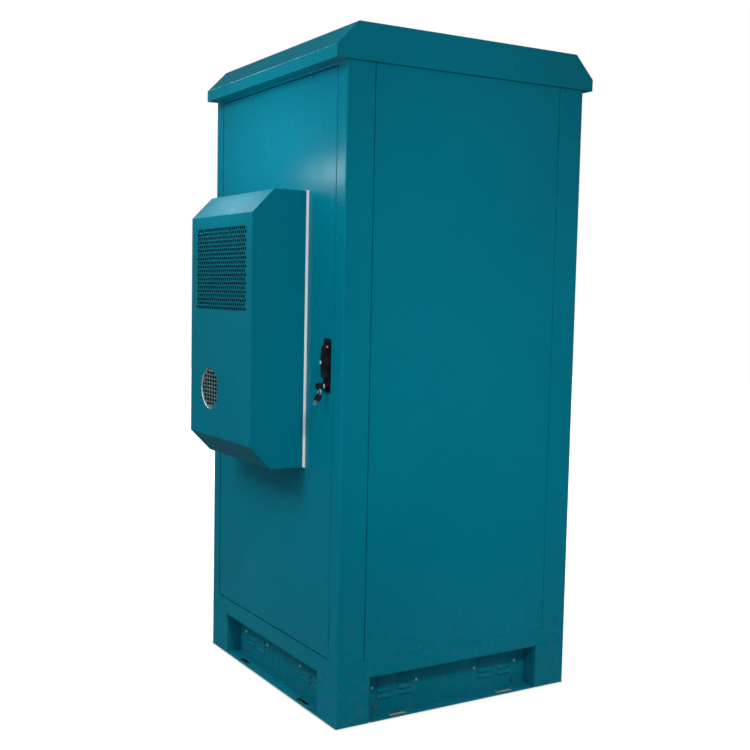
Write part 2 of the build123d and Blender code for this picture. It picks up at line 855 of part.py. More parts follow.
with BuildPart() as hinge_pins:
    for level in hinge_levels:
        with BuildSketch(Plane.XY.offset(level - hinge_half)):
            with Locations((hinge_x, hinge_y)):
                Circle(hinge_pin_radius)
        extrude(amount=hinge_length)
        with BuildSketch(Plane.XY.offset(level + hinge_half)):
            with Locations((hinge_x, hinge_y)):
                Circle(hinge_pin_head_radius)
        extrude(amount=hinge_pin_head)
hinge_pins.part.label = "hinge_pins"
export_step(hinge_pins.part, "parts/hinge_pins.step")

# Handle base with the boss of the lock

handle_face = half_depth + handle_thickness
lock_face = handle_face + lock_boss_height
handle_bottom = lock_height - handle_margin_below
handle_top = handle_pivot_height + handle_margin_above

with BuildPart() as handle_base:
    with BuildSketch(front_plane(half_depth)):
        with Locations((handle_x, (handle_bottom + handle_top) / 2)):
            RectangleRounded(handle_width, handle_top - handle_bottom, handle_corner)
        with Locations((handle_x, handle_pivot_height)):
            Circle(spindle_radius + hub_clearance, mode=Mode.SUBTRACT)
    extrude(amount=handle_thickness)
    with BuildSketch(front_plane(handle_face)):
        with Locations((handle_x, lock_height)):
            Circle(lock_boss_radius)
    extrude(amount=lock_boss_height)
    with BuildSketch(front_plane(half_depth)):
        with Locations((handle_x, lock_height)):
            Circle(plug_radius + plug_fit)
    extrude(amount=handle_thickness + lock_boss_height, mode=Mode.SUBTRACT)
handle_base.part.label = "handle_base"
export_step(handle_base.part, "parts/handle_base.step")

# Lever: lies on the base, pivots on a cross pin and crowns slightly outwards

lever_axis = handle_face + lever_lift + lever_half_thickness
lever_back = lever_axis - lever_half_thickness
lever_front = lever_axis + lever_half_thickness
lever_end = lock_height + lock_boss_radius + lever_lock_gap
lever_middle = (handle_pivot_height + lever_end) / 2

with BuildPart() as lever:
    with BuildSketch(Plane.YZ.offset(handle_x - lever_width / 2)):
        with BuildLine():
            Line((-lever_back, handle_pivot_height), (-lever_back, lever_end))
            Line((-lever_back, lever_end), (-lever_front, lever_end))
            ThreePointArc(
                (-lever_front, lever_end),
                (-lever_front - lever_crown, lever_middle),
                (-lever_front, handle_pivot_height),
            )
            CenterArc((-lever_axis, handle_pivot_height), lever_half_thickness, 0, 180)
        make_face()
    extrude(amount=lever_width)
    with BuildSketch(front_plane(lever_axis)):
        with Locations((handle_x, lever_middle)):
            Circle(lever_finger_radius)
    extrude(amount=lever_half_thickness + lever_crown + lever_finger_height)
    with BuildSketch(front_plane(lever_back)):
        with Locations((handle_x, handle_pivot_height)):
            Rectangle(hub_width + 2 * hub_clearance, 2 * hub_slot_depth)
    extrude(amount=2 * lever_half_thickness + lever_crown, mode=Mode.SUBTRACT)
    with BuildSketch(Plane.YZ.offset(handle_x - lever_width / 2)):
        with Locations((-lever_axis, handle_pivot_height)):
            Circle(lever_pin_radius + lever_pin_fit)
    extrude(amount=lever_width, mode=Mode.SUBTRACT)
lever.part.label = "lever"
export_step(lever.part, "parts/lever.step")

# Turning hub: tongue for the lever's cross pin in front, spindle through the door behind

cam_front = skin_back - cam_skin_gap
cam_back = cam_front - cam_thickness

with BuildPart() as handle_hub:
    with BuildSketch(front_plane(cam_back)):
        with Locations((handle_x, handle_pivot_height)):
            Circle(spindle_radius)
    extrude(amount=lever_back - cam_back)
    with BuildSketch(front_plane(handle_face + hub_clearance)):
        with Locations((handle_x, handle_pivot_height)):
            Rectangle(hub_width, 2 * spindle_radius)
    extrude(amount=lever_front - hub_front_gap - handle_face - hub_clearance)
    with BuildSketch(Plane.YZ.offset(handle_x - hub_width / 2)):
        with Locations((-lever_axis, handle_pivot_height)):
            Circle(lever_pin_radius + lever_pin_fit)
    extrude(amount=hub_width, mode=Mode.SUBTRACT)
handle_hub.part.label = "handle_hub"
export_step(handle_hub.part, "parts/handle_hub.step")

with BuildPart() as lever_pin:
    with BuildSketch(Plane.YZ.offset(handle_x - lever_pin_length / 2)):
        with Locations((-lever_axis, handle_pivot_height)):
            Circle(lever_pin_radius)
    extrude(amount=lever_pin_length)
lever_pin.part.label = "lever_pin"
export_step(lever_pin.part, "parts/lever_pin.step")

# Lock plug with its keyway, the key in it, and the spare key on the ring

with BuildPart() as lock_plug:
    with BuildSketch(front_plane(lock_face + plug_rim - plug_length)):
        with Locations((handle_x, lock_height)):
            Circle(plug_radius)
    extrude(amount=plug_length)
    with BuildSketch(front_plane(lock_face + plug_rim - key_blade_length)):
        with Locations((handle_x, lock_height)):
            Rectangle(keyway_width, keyway_height)
    extrude(amount=key_blade_length, mode=Mode.SUBTRACT)
lock_plug.part.label = "lock_plug"
export_step(lock_plug.part, "parts/lock_plug.step")

blade_width = keyway_width - 2 * key_fit
blade_height = keyway_height - 2 * key_fit
bow_start = lock_face + plug_rim + key_stop_gap
bow_middle = bow_start + key_bow_length / 2

with BuildPart() as key:
    with BuildSketch(front_plane(lock_face + plug_rim - key_blade_length + key_fit)):
        with Locations((handle_x, lock_height)):
            Rectangle(blade_width, blade_height)
    extrude(amount=key_blade_length + key_stop_gap)
    with BuildSketch(Plane.YZ.offset(handle_x - key_bow_thickness / 2)):
        with Locations((-bow_middle, lock_height)):
            RectangleRounded(key_bow_length, key_bow_width, key_bow_corner)
        with Locations((-bow_middle, lock_height - key_hole_drop)):
            Circle(key_hole_radius, mode=Mode.SUBTRACT)
    extrude(amount=key_bow_thickness)
key.part.label = "key"
export_step(key.part, "parts/key.step")

ring_sag = ring_radius - (ring_radius**2 - (key_bow_thickness / 2) ** 2) ** 0.5
wire_seat = ring_sag + ring_wire + key_fit - key_hole_radius
ring_middle = lock_height - key_hole_drop + wire_seat - ring_radius

with BuildPart() as key_ring:
    with BuildSketch(Plane((handle_x, -bow_middle, ring_middle), x_dir=(0, 1, 0), z_dir=(1, 0, 0))):
        with Locations((0, ring_radius)):
            RegularPolygon(ring_wire, 6)
    revolve(axis=Axis((handle_x, -bow_middle, ring_middle), (0, 1, 0)), revolution_arc=360)
key_ring.part.label = "key_ring"
export_step(key_ring.part, "parts/key_ring.step")

spare_hole = ring_middle - ring_radius + wire_seat
spare_head_end = key_hole_radius + ring_wire - spare_head_length
spare_across = Vector(0, 1, 0).rotate(Axis.X, -spare_lean)
spare_frame = Plane(
    (handle_x - key_bow_thickness / 2, -bow_middle, spare_hole),
    x_dir=spare_across,
    z_dir=(1, 0, 0),
)

with BuildPart() as spare_key:
    with BuildSketch(spare_frame):
        with Locations((0, spare_head_end + spare_head_length / 2)):
            RectangleRounded(spare_head_width, spare_head_length, key_bow_corner)
        Circle(key_hole_radius, mode=Mode.SUBTRACT)
    extrude(amount=key_bow_thickness)
    with BuildSketch(spare_frame.offset((key_bow_thickness - blade_width) / 2)):
        with Locations((0, spare_head_end + spare_blade_overlap - spare_blade_length / 2)):
            Rectangle(blade_height, spare_blade_length)
    extrude(amount=blade_width)
spare_key.part.label = "spare_key"
export_step(spare_key.part, "parts/spare_key.step")

# Lock cam on the spindle, with one pin for each rod

upper_rod_back = cam_back - rod_cam_gap - rod_thickness
lower_rod_back = upper_rod_back - rod_gap - rod_thickness
cam_pins = {
    handle_x + cam_reach: upper_rod_back - cam_pin_overhang,
    handle_x - cam_reach: lower_rod_back - cam_pin_overhang,
}

with BuildPart() as lock_cam:
    with BuildSketch(front_plane(cam_back)):
        with Locations((handle_x, handle_pivot_height)):
            SlotCenterToCenter(2 * cam_reach, cam_bar_width)
            Circle(spindle_radius, mode=Mode.SUBTRACT)
    extrude(amount=cam_thickness)
    for pin_x, pin_end in cam_pins.items():
        with BuildSketch(front_plane(pin_end)):
            with Locations((pin_x, handle_pivot_height)):
                Circle(cam_pin_radius)
        extrude(amount=cam_back - pin_end)
lock_cam.part.label = "lock_cam"
export_step(lock_cam.part, "parts/lock_cam.step")

# Lock rods: flat bars with a cross slot for the cam pin at the inner end

rods = {
    "upper": (handle_x + cam_reach, lip_top_edge - rod_lip_gap, upper_rod_back),
    "lower": (handle_x - cam_reach, lip_bottom_edge + rod_lip_gap, lower_rod_back),
}

for name, (rod_x, rod_end, rod_back) in rods.items():
    inner_end = handle_pivot_height
    toward_centre = 1 if rod_x < handle_x else -1
    slot_x = rod_x + toward_centre * (rod_slot_length / 2 - cam_pin_radius - hub_clearance)
    with BuildPart() as lock_rod:
        with BuildSketch(front_plane(rod_back)):
            with Locations((rod_x, (inner_end + rod_end) / 2)):
                Rectangle(rod_width, abs(rod_end - inner_end))
            with Locations((slot_x, inner_end)):
                Rectangle(rod_head_width, rod_head_height)
                Rectangle(rod_slot_length, rod_slot_height, mode=Mode.SUBTRACT)
        extrude(amount=rod_thickness)
    lock_rod.part.label = f"{name}_lock_rod"
    export_step(lock_rod.part, f"parts/{name}_lock_rod.step")

# Rod guides: blocks on the door skin with a passage for the rod

guides = [
    (handle_x + cam_reach, handle_pivot_height + guide_distance, upper_rod_back),
    (handle_x - cam_reach, handle_pivot_height - guide_distance, lower_rod_back),
]

with BuildPart() as rod_guides:
    for guide_x, guide_z, rod_back in guides:
        guide_back = rod_back - guide_clearance - sheet
        with BuildSketch(front_plane(guide_back)):
            with Locations((guide_x, guide_z)):
                Rectangle(guide_width, guide_height)
        extrude(amount=skin_back - guide_back)
        with BuildSketch(front_plane(rod_back - guide_clearance)):
            with Locations((guide_x, guide_z)):
                Rectangle(rod_width + 2 * guide_clearance, guide_height)
        extrude(amount=rod_thickness + 2 * guide_clearance, mode=Mode.SUBTRACT)
rod_guides.part.label = "rod_guides"
export_step(rod_guides.part, "parts/rod_guides.step")

# Cooling unit cover: folded front with slanted top and bottom, a perforated grille and a round port

cover_side = cooler_x - cooler_width / 2
cover_outside = [
    (-cooler_back, cooler_bottom),
    (-cooler_front + cooler_fold, cooler_bottom),
    (-cooler_front, cooler_bottom + cooler_fold),
    (-cooler_front, cooler_top - cooler_fold),
    (-cooler_front + cooler_fold, cooler_top),
    (-cooler_back, cooler_top),
]
fold_inset = cooler_sheet * (2**0.5 - 1)
cover_inside = [
    (-cooler_back, cooler_bottom + cooler_sheet),
    (-cooler_front + cooler_fold + fold_inset, cooler_bottom + cooler_sheet),
    (-cooler_inside, cooler_bottom + cooler_fold + fold_inset),
    (-cooler_inside, cooler_top - cooler_fold - fold_inset),
    (-cooler_front + cooler_fold + fold_inset, cooler_top - cooler_sheet),
    (-cooler_back, cooler_top - cooler_sheet),
]

with BuildPart() as cooler_cover:
    with BuildSketch(Plane.YZ.offset(cover_side)):
        Polygon(*cover_outside, align=None)
    extrude(amount=cooler_width)
    cross_edges = cooler_cover.edges().filter_by(Axis.X).group_by(Axis.Y)[:-1]
    fillet([edge for group in cross_edges for edge in group], radius=cooler_bend)
    with BuildSketch(Plane.YZ.offset(cover_side + cooler_sheet)):
        Polygon(*cover_inside, align=None)
    extrude(amount=cooler_width - 2 * cooler_sheet, mode=Mode.SUBTRACT)
    with BuildSketch(front_plane(cooler_inside)):
        with Locations((grille_x, grille_height)):
            with GridLocations(grille_pitch_x, grille_pitch_z, grille_columns, grille_rows):
                Rectangle(grille_hole, grille_hole)
        with Locations((port_x, port_height)):
            Circle(port_radius)
    extrude(amount=cooler_sheet, mode=Mode.SUBTRACT)
cooler_cover.part.label = "cooler_cover"
export_step(cooler_cover.part, "parts/cooler_cover.step")

# Foam seal between the cover and the door

seal_outer_width = cooler_width + 2 * cooler_seal_overlap
seal_outer_height = cooler_height + 2 * cooler_seal_overlap

with BuildPart() as cooler_seal:
    with BuildSketch(front_plane(half_depth)):
        with Locations((cooler_x, cooler_middle)):
            Rectangle(seal_outer_width, seal_outer_height)
            Rectangle(
                seal_outer_width - 2 * cooler_seal_width,
                seal_outer_height - 2 * cooler_seal_width,
                mode=Mode.SUBTRACT,
            )
    extrude(amount=cooler_seal_thickness)
cooler_seal.part.label = "cooler_seal"
export_step(cooler_seal.part, "parts/cooler_seal.step")

# Cooling unit chassis: flange on the seal, box through the door, tray, partition, coil side plates

chassis_width = cutout_width - 2 * chassis_clearance
chassis_height = cutout_height - 2 * chassis_clearance
flange_width = cooler_width - 2 * cooler_sheet - 2 * plate_edge_gap
flange_height = cooler_height - 2 * cooler_sheet - 2 * plate_edge_gap
chassis_bottom = cooler_middle - chassis_height / 2
partition_back = chassis_back + partition_depth
coil_front = cooler_inside - coil_grille_gap
coil_width = cutout_width - 2 * coil_margin
slots_half = (chassis_slot_count - 1) / 2
slot_levels = [
    (cooler_x, centre + (row - slots_half) * chassis_slot_pitch)
    for centre in (cooler_top - chassis_return_drop, cooler_bottom + chassis_supply_rise)
    for row in range(chassis_slot_count)
]

with BuildPart() as cooler_chassis:
    with BuildSketch(front_plane(cooler_back)):
        with Locations((cooler_x, cooler_middle)):
            Rectangle(flange_width, flange_height)
    extrude(amount=cooler_sheet)
    with BuildSketch(front_plane(chassis_back)):
        with Locations((cooler_x, cooler_middle)):
            Rectangle(chassis_width, chassis_height)
    extrude(amount=cooler_back - chassis_back)
    with BuildSketch(front_plane(chassis_back + cooler_sheet)):
        with Locations((cooler_x, cooler_middle)):
            Rectangle(chassis_width - 2 * cooler_sheet, chassis_height - 2 * cooler_sheet)
    extrude(amount=cooler_back - chassis_back, mode=Mode.SUBTRACT)
    with BuildSketch(Plane.XY.offset(chassis_bottom)):
        with Locations((cooler_x, -cooler_back - chassis_tray_depth / 2)):
            Rectangle(chassis_width - 2 * cooler_sheet, chassis_tray_depth)
    extrude(amount=cooler_sheet)
    with BuildSketch(front_plane(chassis_back)):
        with Locations(*slot_levels):
            Rectangle(chassis_slot_width, chassis_slot_height)
    extrude(amount=cooler_sheet, mode=Mode.SUBTRACT)
    with BuildSketch(front_plane(partition_back)):
        with Locations((cooler_x, cooler_middle)):
            Rectangle(chassis_width - cooler_sheet, chassis_height - cooler_sheet)
    extrude(amount=cooler_sheet)
    bracket_x = coil_width / 2 + coil_side_gap + cooler_sheet / 2
    with BuildSketch(front_plane(partition_back)):
        with Locations((cooler_x - bracket_x, grille_height), (cooler_x + bracket_x, grille_height)):
            Rectangle(cooler_sheet, coil_height)
    extrude(amount=coil_front - partition_back)
cooler_chassis.part.label = "cooler_chassis"
export_step(cooler_chassis.part, "parts/cooler_chassis.step")

# Port ring of foam, guard mesh and fan frame, stacked behind the round port

ring_outer = port_radius + port_ring_width
mesh_front = cooler_inside - port_ring_depth
fan_front = mesh_front - mesh_sheet
fan_back = fan_front - fan_frame_depth
fan_arm_length = 2 * fan_bore_radius + fan_frame_wall

with BuildPart() as port_ring:
    with BuildSketch(front_plane(mesh_front)):
        with Locations((port_x, port_height)):
            Circle(ring_outer)
            Circle(port_radius, mode=Mode.SUBTRACT)
    extrude(amount=port_ring_depth)
port_ring.part.label = "port_ring"
export_step(port_ring.part, "parts/port_ring.step")

mesh_columns = int(port_radius / mesh_pitch_x)
mesh_rows = int(port_radius / mesh_pitch_z)
mesh_grid = [
    (column * mesh_pitch_x, row * mesh_pitch_z)
    for column in range(-mesh_columns, mesh_columns + 1)
    for row in range(-mesh_rows, mesh_rows + 1)
]
mesh_holes = [
    (port_x + x, port_height + z)
    for x, z in mesh_grid
    if (x**2 + z**2) ** 0.5 < port_radius - mesh_hole_height / 2
]

with BuildPart() as port_mesh:
    with BuildSketch(front_plane(fan_front)):
        with Locations((port_x, port_height)):
            Circle(ring_outer)
        with Locations(*mesh_holes):
            Rectangle(mesh_hole_width, mesh_hole_height, mode=Mode.SUBTRACT)
    extrude(amount=mesh_sheet)
port_mesh.part.label = "port_mesh"
export_step(port_mesh.part, "parts/port_mesh.step")

with BuildPart() as fan_frame:
    with BuildSketch(front_plane(fan_back)):
        with Locations((port_x, port_height)):
            Circle(fan_bore_radius + fan_frame_wall)
            Circle(fan_bore_radius, mode=Mode.SUBTRACT)
    extrude(amount=fan_frame_depth)
    with BuildSketch(front_plane(fan_back)):
        with Locations((port_x, port_height)):
            Rectangle(fan_arm_length, fan_arm_width)
            Rectangle(fan_arm_width, fan_arm_length)
            Circle(fan_hub_radius)
    extrude(amount=fan_arm_depth)
    with BuildSketch(front_plane(fan_back + fan_arm_depth)):
        with Locations((port_x, port_height)):
            Circle(fan_shaft_radius)
    extrude(amount=fan_frame_depth - fan_arm_depth - fan_front_gap)
fan_frame.part.label = "fan_frame"
export_step(fan_frame.part, "parts/fan_frame.step")

rotor_back = fan_front - fan_front_gap - fan_rotor_depth
rotor_middle = rotor_back + fan_rotor_depth / 2
blade_root = fan_hub_radius - fan_blade_overlap
blade_tip = fan_bore_radius - fan_tip_gap


def radial_plane(centre_x, centre_y, centre_z, angle):
    """Plane square to a spoke of a fan whose axis runs front to back, with its x axis to the rear."""
    spoke = Vector(1, 0, 0).rotate(Axis.Y, angle)
    return Plane((centre_x, centre_y, centre_z), x_dir=(0, 1, 0), z_dir=spoke)


with BuildPart() as condenser_fan:
    with BuildSketch(front_plane(rotor_back)):
        with Locations((port_x, port_height)):
            Circle(fan_hub_radius)
    extrude(amount=fan_rotor_depth)
    for blade in range(fan_blades):
        spoke_plane = radial_plane(port_x, -rotor_middle, port_height, 360 * blade / fan_blades)
        with BuildSketch(spoke_plane.offset(blade_root)):
            Rectangle(fan_blade_chord, fan_blade_thickness, rotation=fan_blade_twist)
        extrude(amount=blade_tip - blade_root)
    with BuildSketch(front_plane(rotor_back)):
        with Locations((port_x, port_height)):
            Circle(fan_shaft_radius + fan_shaft_fit)
    extrude(amount=fan_rotor_depth, mode=Mode.SUBTRACT)
condenser_fan.part.label = "condenser_fan"
export_step(condenser_fan.part, "parts/condenser_fan.step")

# Coils: finned blocks with the tube rows pressed in as grooves

coils = {
    "condenser_coil": coil_front - coil_depth,
    "evaporator_coil": partition_back - coil_depth,
}
groove_pitch = coil_height / coil_grooves

for name, coil_back in coils.items():
    with BuildPart() as coil:
        with BuildSketch(front_plane(coil_back)):
            with Locations((cooler_x, grille_height)):
                Rectangle(coil_width, coil_height)
        extrude(amount=coil_depth)
        with BuildSketch(front_plane(coil_back + coil_depth - coil_groove_depth)):
            with Locations((cooler_x, grille_height)):
                with GridLocations(0, groove_pitch, 1, coil_grooves):
                    Rectangle(coil_width - 2 * coil_groove_width, coil_groove_width)
        extrude(amount=coil_groove_depth, mode=Mode.SUBTRACT)
    coil.part.label = name
    export_step(coil.part, f"parts/{name}.step")

# Compressor: a domed can standing on the chassis tray

tray_top = chassis_bottom + cooler_sheet
compressor_x = cooler_x + compressor_offset
compressor_y = -cooler_back - cooler_sheet - chassis_tray_depth / 2
can_frame = Plane((compressor_x, compressor_y, tray_top), x_dir=(1, 0, 0), z_dir=(0, -1, 0))

with BuildPart() as compressor:
    with BuildSketch(can_frame) as can:
        with Locations((compressor_radius / 2, compressor_height / 2)):
            Rectangle(compressor_radius, compressor_height)
        shoulder = can.vertices().group_by(Axis.Z)[-1].sort_by(Axis.X)[-1]
        chamfer(shoulder, length=compressor_dome)
    revolve(axis=Axis((compressor_x, compressor_y, tray_top), (0, 0, 1)))
compressor.part.label = "compressor"
export_step(compressor.part, "parts/compressor.step")

# Inner fan on a motor seat, behind the partition

blower_height = cooler_bottom + blower_rise
motor_back = partition_back - blower_mount_depth
wheel_back = motor_back - hub_clearance - blower_depth

with BuildPart() as blower_motor:
    with BuildSketch(front_plane(motor_back)):
        with Locations((cooler_x, blower_height)):
            Circle(blower_mount_radius)
    extrude(amount=blower_mount_depth)
    with BuildSketch(front_plane(wheel_back)):
        with Locations((cooler_x, blower_height)):
            Circle(fan_shaft_radius)
    extrude(amount=blower_depth + hub_clearance)
blower_motor.part.label = "blower_motor"
export_step(blower_motor.part, "parts/blower_motor.step")

with BuildPart() as blower_wheel:
    with BuildSketch(front_plane(wheel_back + blower_depth - blower_disc)):
        with Locations((cooler_x, blower_height)):
            Circle(blower_radius)
    extrude(amount=blower_disc)
    with BuildSketch(front_plane(wheel_back)):
        with Locations((cooler_x, blower_height)):
            Circle(fan_hub_radius)
            with PolarLocations((fan_hub_radius + blower_radius) / 2, blower_blades):
                Rectangle(blower_blade_length, fan_blade_thickness, rotation=fan_blade_twist)
    extrude(amount=blower_depth - blower_disc)
    with BuildSketch(front_plane(wheel_back)):
        with Locations((cooler_x, blower_height)):
            Circle(fan_shaft_radius + fan_shaft_fit)
    extrude(amount=blower_depth, mode=Mode.SUBTRACT)
blower_wheel.part.label = "blower_wheel"
export_step(blower_wheel.part, "parts/blower_wheel.step")

# Equipment rails between floor and ceiling, and the shelf between them

rail_inner = rack_opening / 2
rail_corner = chassis_back - rack_clearance
rack_rail_path = [
    (rail_inner, rail_corner - rack_return),
    (rail_inner, rail_corner),
    (rail_inner + rack_flange, rail_corner),
]

with BuildPart() as rack_rails:
    for sign_x, sign_y in corners.values():
        with BuildSketch(Plane.XY.offset(floor_top)):
            path = in_corner(rack_rail_path, sign_x, sign_y)
            add(folded_strip(path, rack_sheet, door_bend, corner_side(sign_x, sign_y)))
        extrude(amount=body_top - floor_top)
rack_rails.part.label = "rack_rails"
export_step(rack_rails.part, "parts/rack_rails.step")

shelf_path = [
    (-rail_inner, shelf_height - shelf_lip),
    (-rail_inner, shelf_height),
    (rail_inner, shelf_height),
    (rail_inner, shelf_height - shelf_lip),
]

with BuildPart() as equipment_shelf:
    with BuildSketch(Plane.XZ):
        add(folded_strip(shelf_path, rack_sheet, door_bend, -1))
    extrude(amount=rail_corner - rack_sheet, both=True)
equipment_shelf.part.label = "equipment_shelf"
export_step(equipment_shelf.part, "parts/equipment_shelf.step")
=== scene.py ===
"""Looks of a roadside equipment cabinet, built round its packed construction.

The file is laid out as an add-on: property groups for the sizes and colours, one operator for each
kind of piece, and a panel that lists them. Lengths are metres, X to the right of someone who faces
the door, the door faces -Y, Z up.
"""

import math

import bmesh
import bpy
import numpy as np
from bpy.props import FloatProperty, FloatVectorProperty, IntProperty, PointerProperty
from mathutils import Matrix, Vector


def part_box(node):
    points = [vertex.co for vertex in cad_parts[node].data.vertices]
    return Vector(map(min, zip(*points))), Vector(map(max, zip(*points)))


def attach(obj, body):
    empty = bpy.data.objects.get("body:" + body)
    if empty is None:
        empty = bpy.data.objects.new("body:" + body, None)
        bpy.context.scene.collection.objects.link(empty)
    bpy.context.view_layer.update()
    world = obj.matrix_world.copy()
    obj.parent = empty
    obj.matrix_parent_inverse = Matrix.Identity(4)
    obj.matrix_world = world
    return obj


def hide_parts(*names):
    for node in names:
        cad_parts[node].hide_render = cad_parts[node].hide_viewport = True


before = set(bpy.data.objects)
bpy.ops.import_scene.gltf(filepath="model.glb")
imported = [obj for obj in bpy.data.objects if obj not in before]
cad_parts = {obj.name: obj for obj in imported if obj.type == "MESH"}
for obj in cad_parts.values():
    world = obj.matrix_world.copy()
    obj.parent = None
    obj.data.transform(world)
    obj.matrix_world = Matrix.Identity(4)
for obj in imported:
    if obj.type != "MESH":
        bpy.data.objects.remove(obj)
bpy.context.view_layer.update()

bl_info = {
    "name": "Roadside equipment cabinet",
    "version": (1, 0, 0),
    "blender": (4, 5, 0),
    "location": "3D View > Sidebar > Cabinet",
    "description": "Finishes and small pieces of an outdoor equipment cabinet",
    "category": "Object",
}

MM = 0.001
COVER_LOW, COVER_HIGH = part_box("cooler_cover")
MERGE_DIGITS = 6  # decimals of a metre that two points of one vertex share
CLOSE = 0.001 * MM  # lines of a lattice that are nearer than this are the same
SHARP_ANGLE = math.radians(35)  # between the normals of two faces


# Mesh building


def weld(grids):
    """Joins grids of points into one set of vertices and quads.

    Each grid is an array of rows x columns x 3. Neighbouring points give one quad, points of the
    same place become one vertex, and a quad that loses an edge becomes a triangle or is left out.
    """
    points, quads, start = [], [], 0
    for grid in grids:
        rows, columns = grid.shape[:2]
        index = start + np.arange(rows * columns).reshape(rows, columns)
        corners = (index[:-1, :-1], index[:-1, 1:], index[1:, 1:], index[1:, :-1])
        quads.append(np.stack(corners, axis=-1).reshape(-1, 4))
        points.append(grid.reshape(-1, 3))
        start += rows * columns
    points, quads = np.concatenate(points), np.concatenate(quads)
    _, first, place = np.unique(
        np.round(points, MERGE_DIGITS), axis=0, return_index=True, return_inverse=True
    )
    quads = place.reshape(-1)[quads]
    same = quads == np.roll(quads, -1, axis=1)
    lost = same.sum(axis=1)
    triangles = quads[lost == 1][~same[lost == 1]].reshape(-1, 3)
    return points[first], quads[lost == 0].tolist() + triangles.tolist()


def point_outward(mesh):
    """Turns every face of a welded mesh outward."""
    work = bmesh.new()
    work.from_mesh(mesh)
    bmesh.ops.recalc_face_normals(work, faces=work.faces)
    work.to_mesh(mesh)
    work.free()


def sharpen_borders(mesh):
    """Marks edges with only one face as sharp, so that a wall's rim doesn't bend the shading."""
    edges = np.empty(len(mesh.loops), np.int32)
    mesh.loops.foreach_get("edge_index", edges)
    sharp = np.empty(len(mesh.edges), bool)
    mesh.edges.foreach_get("use_edge_sharp", sharp)
    sharp |= np.bincount(edges, minlength=len(mesh.edges)) == 1
    mesh.edges.foreach_set("use_edge_sharp", sharp)


def new_piece(name, grids, finish, body, wall=0.0, turn_faces=False):
    """Makes a mesh object from grids, with an optional wall thickness to the inside.

    Grids that aren't drawn outward have their faces turned first. Only then are the sharp edges
    found, because their angle is between the faces' normals.
    """
    vertices, faces = weld(grids)
    mesh = bpy.data.meshes.new(name)
    mesh.from_pydata(vertices.tolist(), [], faces)
    mesh.validate()
    if turn_faces:
        point_outward(mesh)
    mesh.shade_smooth()
    mesh.set_sharp_from_angle(angle=SHARP_ANGLE)
    sharpen_borders(mesh)
    piece = bpy.data.objects.new(name, mesh)
    bpy.context.scene.collection.objects.link(piece)
    mesh.materials.append(bpy.data.materials[finish])
    if wall:
        solid = piece.modifiers.new("wall", "SOLIDIFY")
        solid.thickness = wall
        solid.offset = -1
        solid.use_even_offset = True
    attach(piece, body)
    return piece


def disc_rings(radii, heights, steps):
    """Turned shape: the profile (radius, height) goes round the axis in the given number of steps.

    The axis points to -Y. The last step is at the first one's angle, so that the seam closes.
    """
    turn = np.linspace(0, 2 * np.pi, steps + 1)
    turn[-1] = 0
    radii, heights = np.asarray(radii, float)[:, None], np.asarray(heights, float)[:, None]
    x = radii * np.cos(turn)
    z = radii * np.sin(turn)
    return np.stack([x, np.broadcast_to(-heights, x.shape), z], axis=-1)


def rounded_path(corners, radii, steps):
    """Points along a path of straight runs whose corners are rounded.

    At each corner the path leaves the incoming run one tangent length before the corner, follows a
    quadratic curve pulled to the corner, and meets the next run one tangent length after it.
    """
    corners = np.asarray(corners, float)
    parts = [corners[:1]]
    share = np.linspace(0, 1, steps + 1)[:, None]
    for before, corner, after, radius in zip(corners, corners[1:], corners[2:], radii):
        towards = (before - corner) / np.linalg.norm(before - corner)
        away = (after - corner) / np.linalg.norm(after - corner)
        half_angle = math.acos(float(np.clip(towards @ away, -1, 1))) / 2
        reach = radius / math.tan(half_angle)
        start, end = corner + towards * reach, corner + away * reach
        parts.append((1 - share) ** 2 * start + 2 * share * (1 - share) * corner + share**2 * end)
    parts.append(corners[-1:])
    return np.concatenate(parts)


# Finishes


COAT_GLOSS_TINT = (0.25, 0.85, 1.0)
DUST_COLOR = (0.11, 0.12, 0.11)
DUST_TOP = 0.5  # height at which the dust ends
DUST_COVER = 0.16  # share of the dust at the ground, where it is thickest
STEEL_EDGE = 0.5 * MM  # radius of the rounded edges, also for the next two
MOULDED_EDGE = 0.4 * MM
FOAM_EDGE = 1 * MM
KEY_STEP = 0.4 * MM  # over which a key goes from steel to black
KEY_HEAD = (0.008, 0.008, 0.008)
KEY_STEEL = (0.8, 0.8, 0.8)


def shader(name, color, metallic=0.0, roughness=0.5, specular=0.5):
    """New material with one principled shader, its parts, and the object's own coordinates."""
    material = bpy.data.materials.new(name)
    material.use_nodes = True
    nodes, links = material.node_tree.nodes, material.node_tree.links
    surface = nodes["Principled BSDF"]
    surface.inputs["Base Color"].default_value = (*color, 1)
    surface.inputs["Metallic"].default_value = metallic
    surface.inputs["Roughness"].default_value = roughness
    surface.inputs["Specular IOR Level"].default_value = specular
    place = nodes.new("ShaderNodeTexCoord")
    return material, nodes, links, surface, place.outputs["Object"]


def noise(nodes, links, place, scale, detail=2.0, stretch=(1, 1, 1)):
    """Soft noise on the object's own coordinates, which may be stretched along an axis."""
    mapping = nodes.new("ShaderNodeMapping")
    mapping.inputs["Scale"].default_value = stretch
    links.new(place, mapping.inputs["Vector"])
    texture = nodes.new("ShaderNodeTexNoise")
    texture.inputs["Scale"].default_value = scale
    texture.inputs["Detail"].default_value = detail
    links.new(mapping.outputs["Vector"], texture.inputs["Vector"])
    return texture.outputs["Fac"]


def remap(nodes, links, value, low, high, new_low, new_high):
    """Value moved from one range to another."""
    node = nodes.new("ShaderNodeMapRange")
    node.inputs["From Min"].default_value = low
    node.inputs["From Max"].default_value = high
    node.inputs["To Min"].default_value = new_low
    node.inputs["To Max"].default_value = new_high
    links.new(value, node.inputs["Value"])
    return node.outputs["Result"]


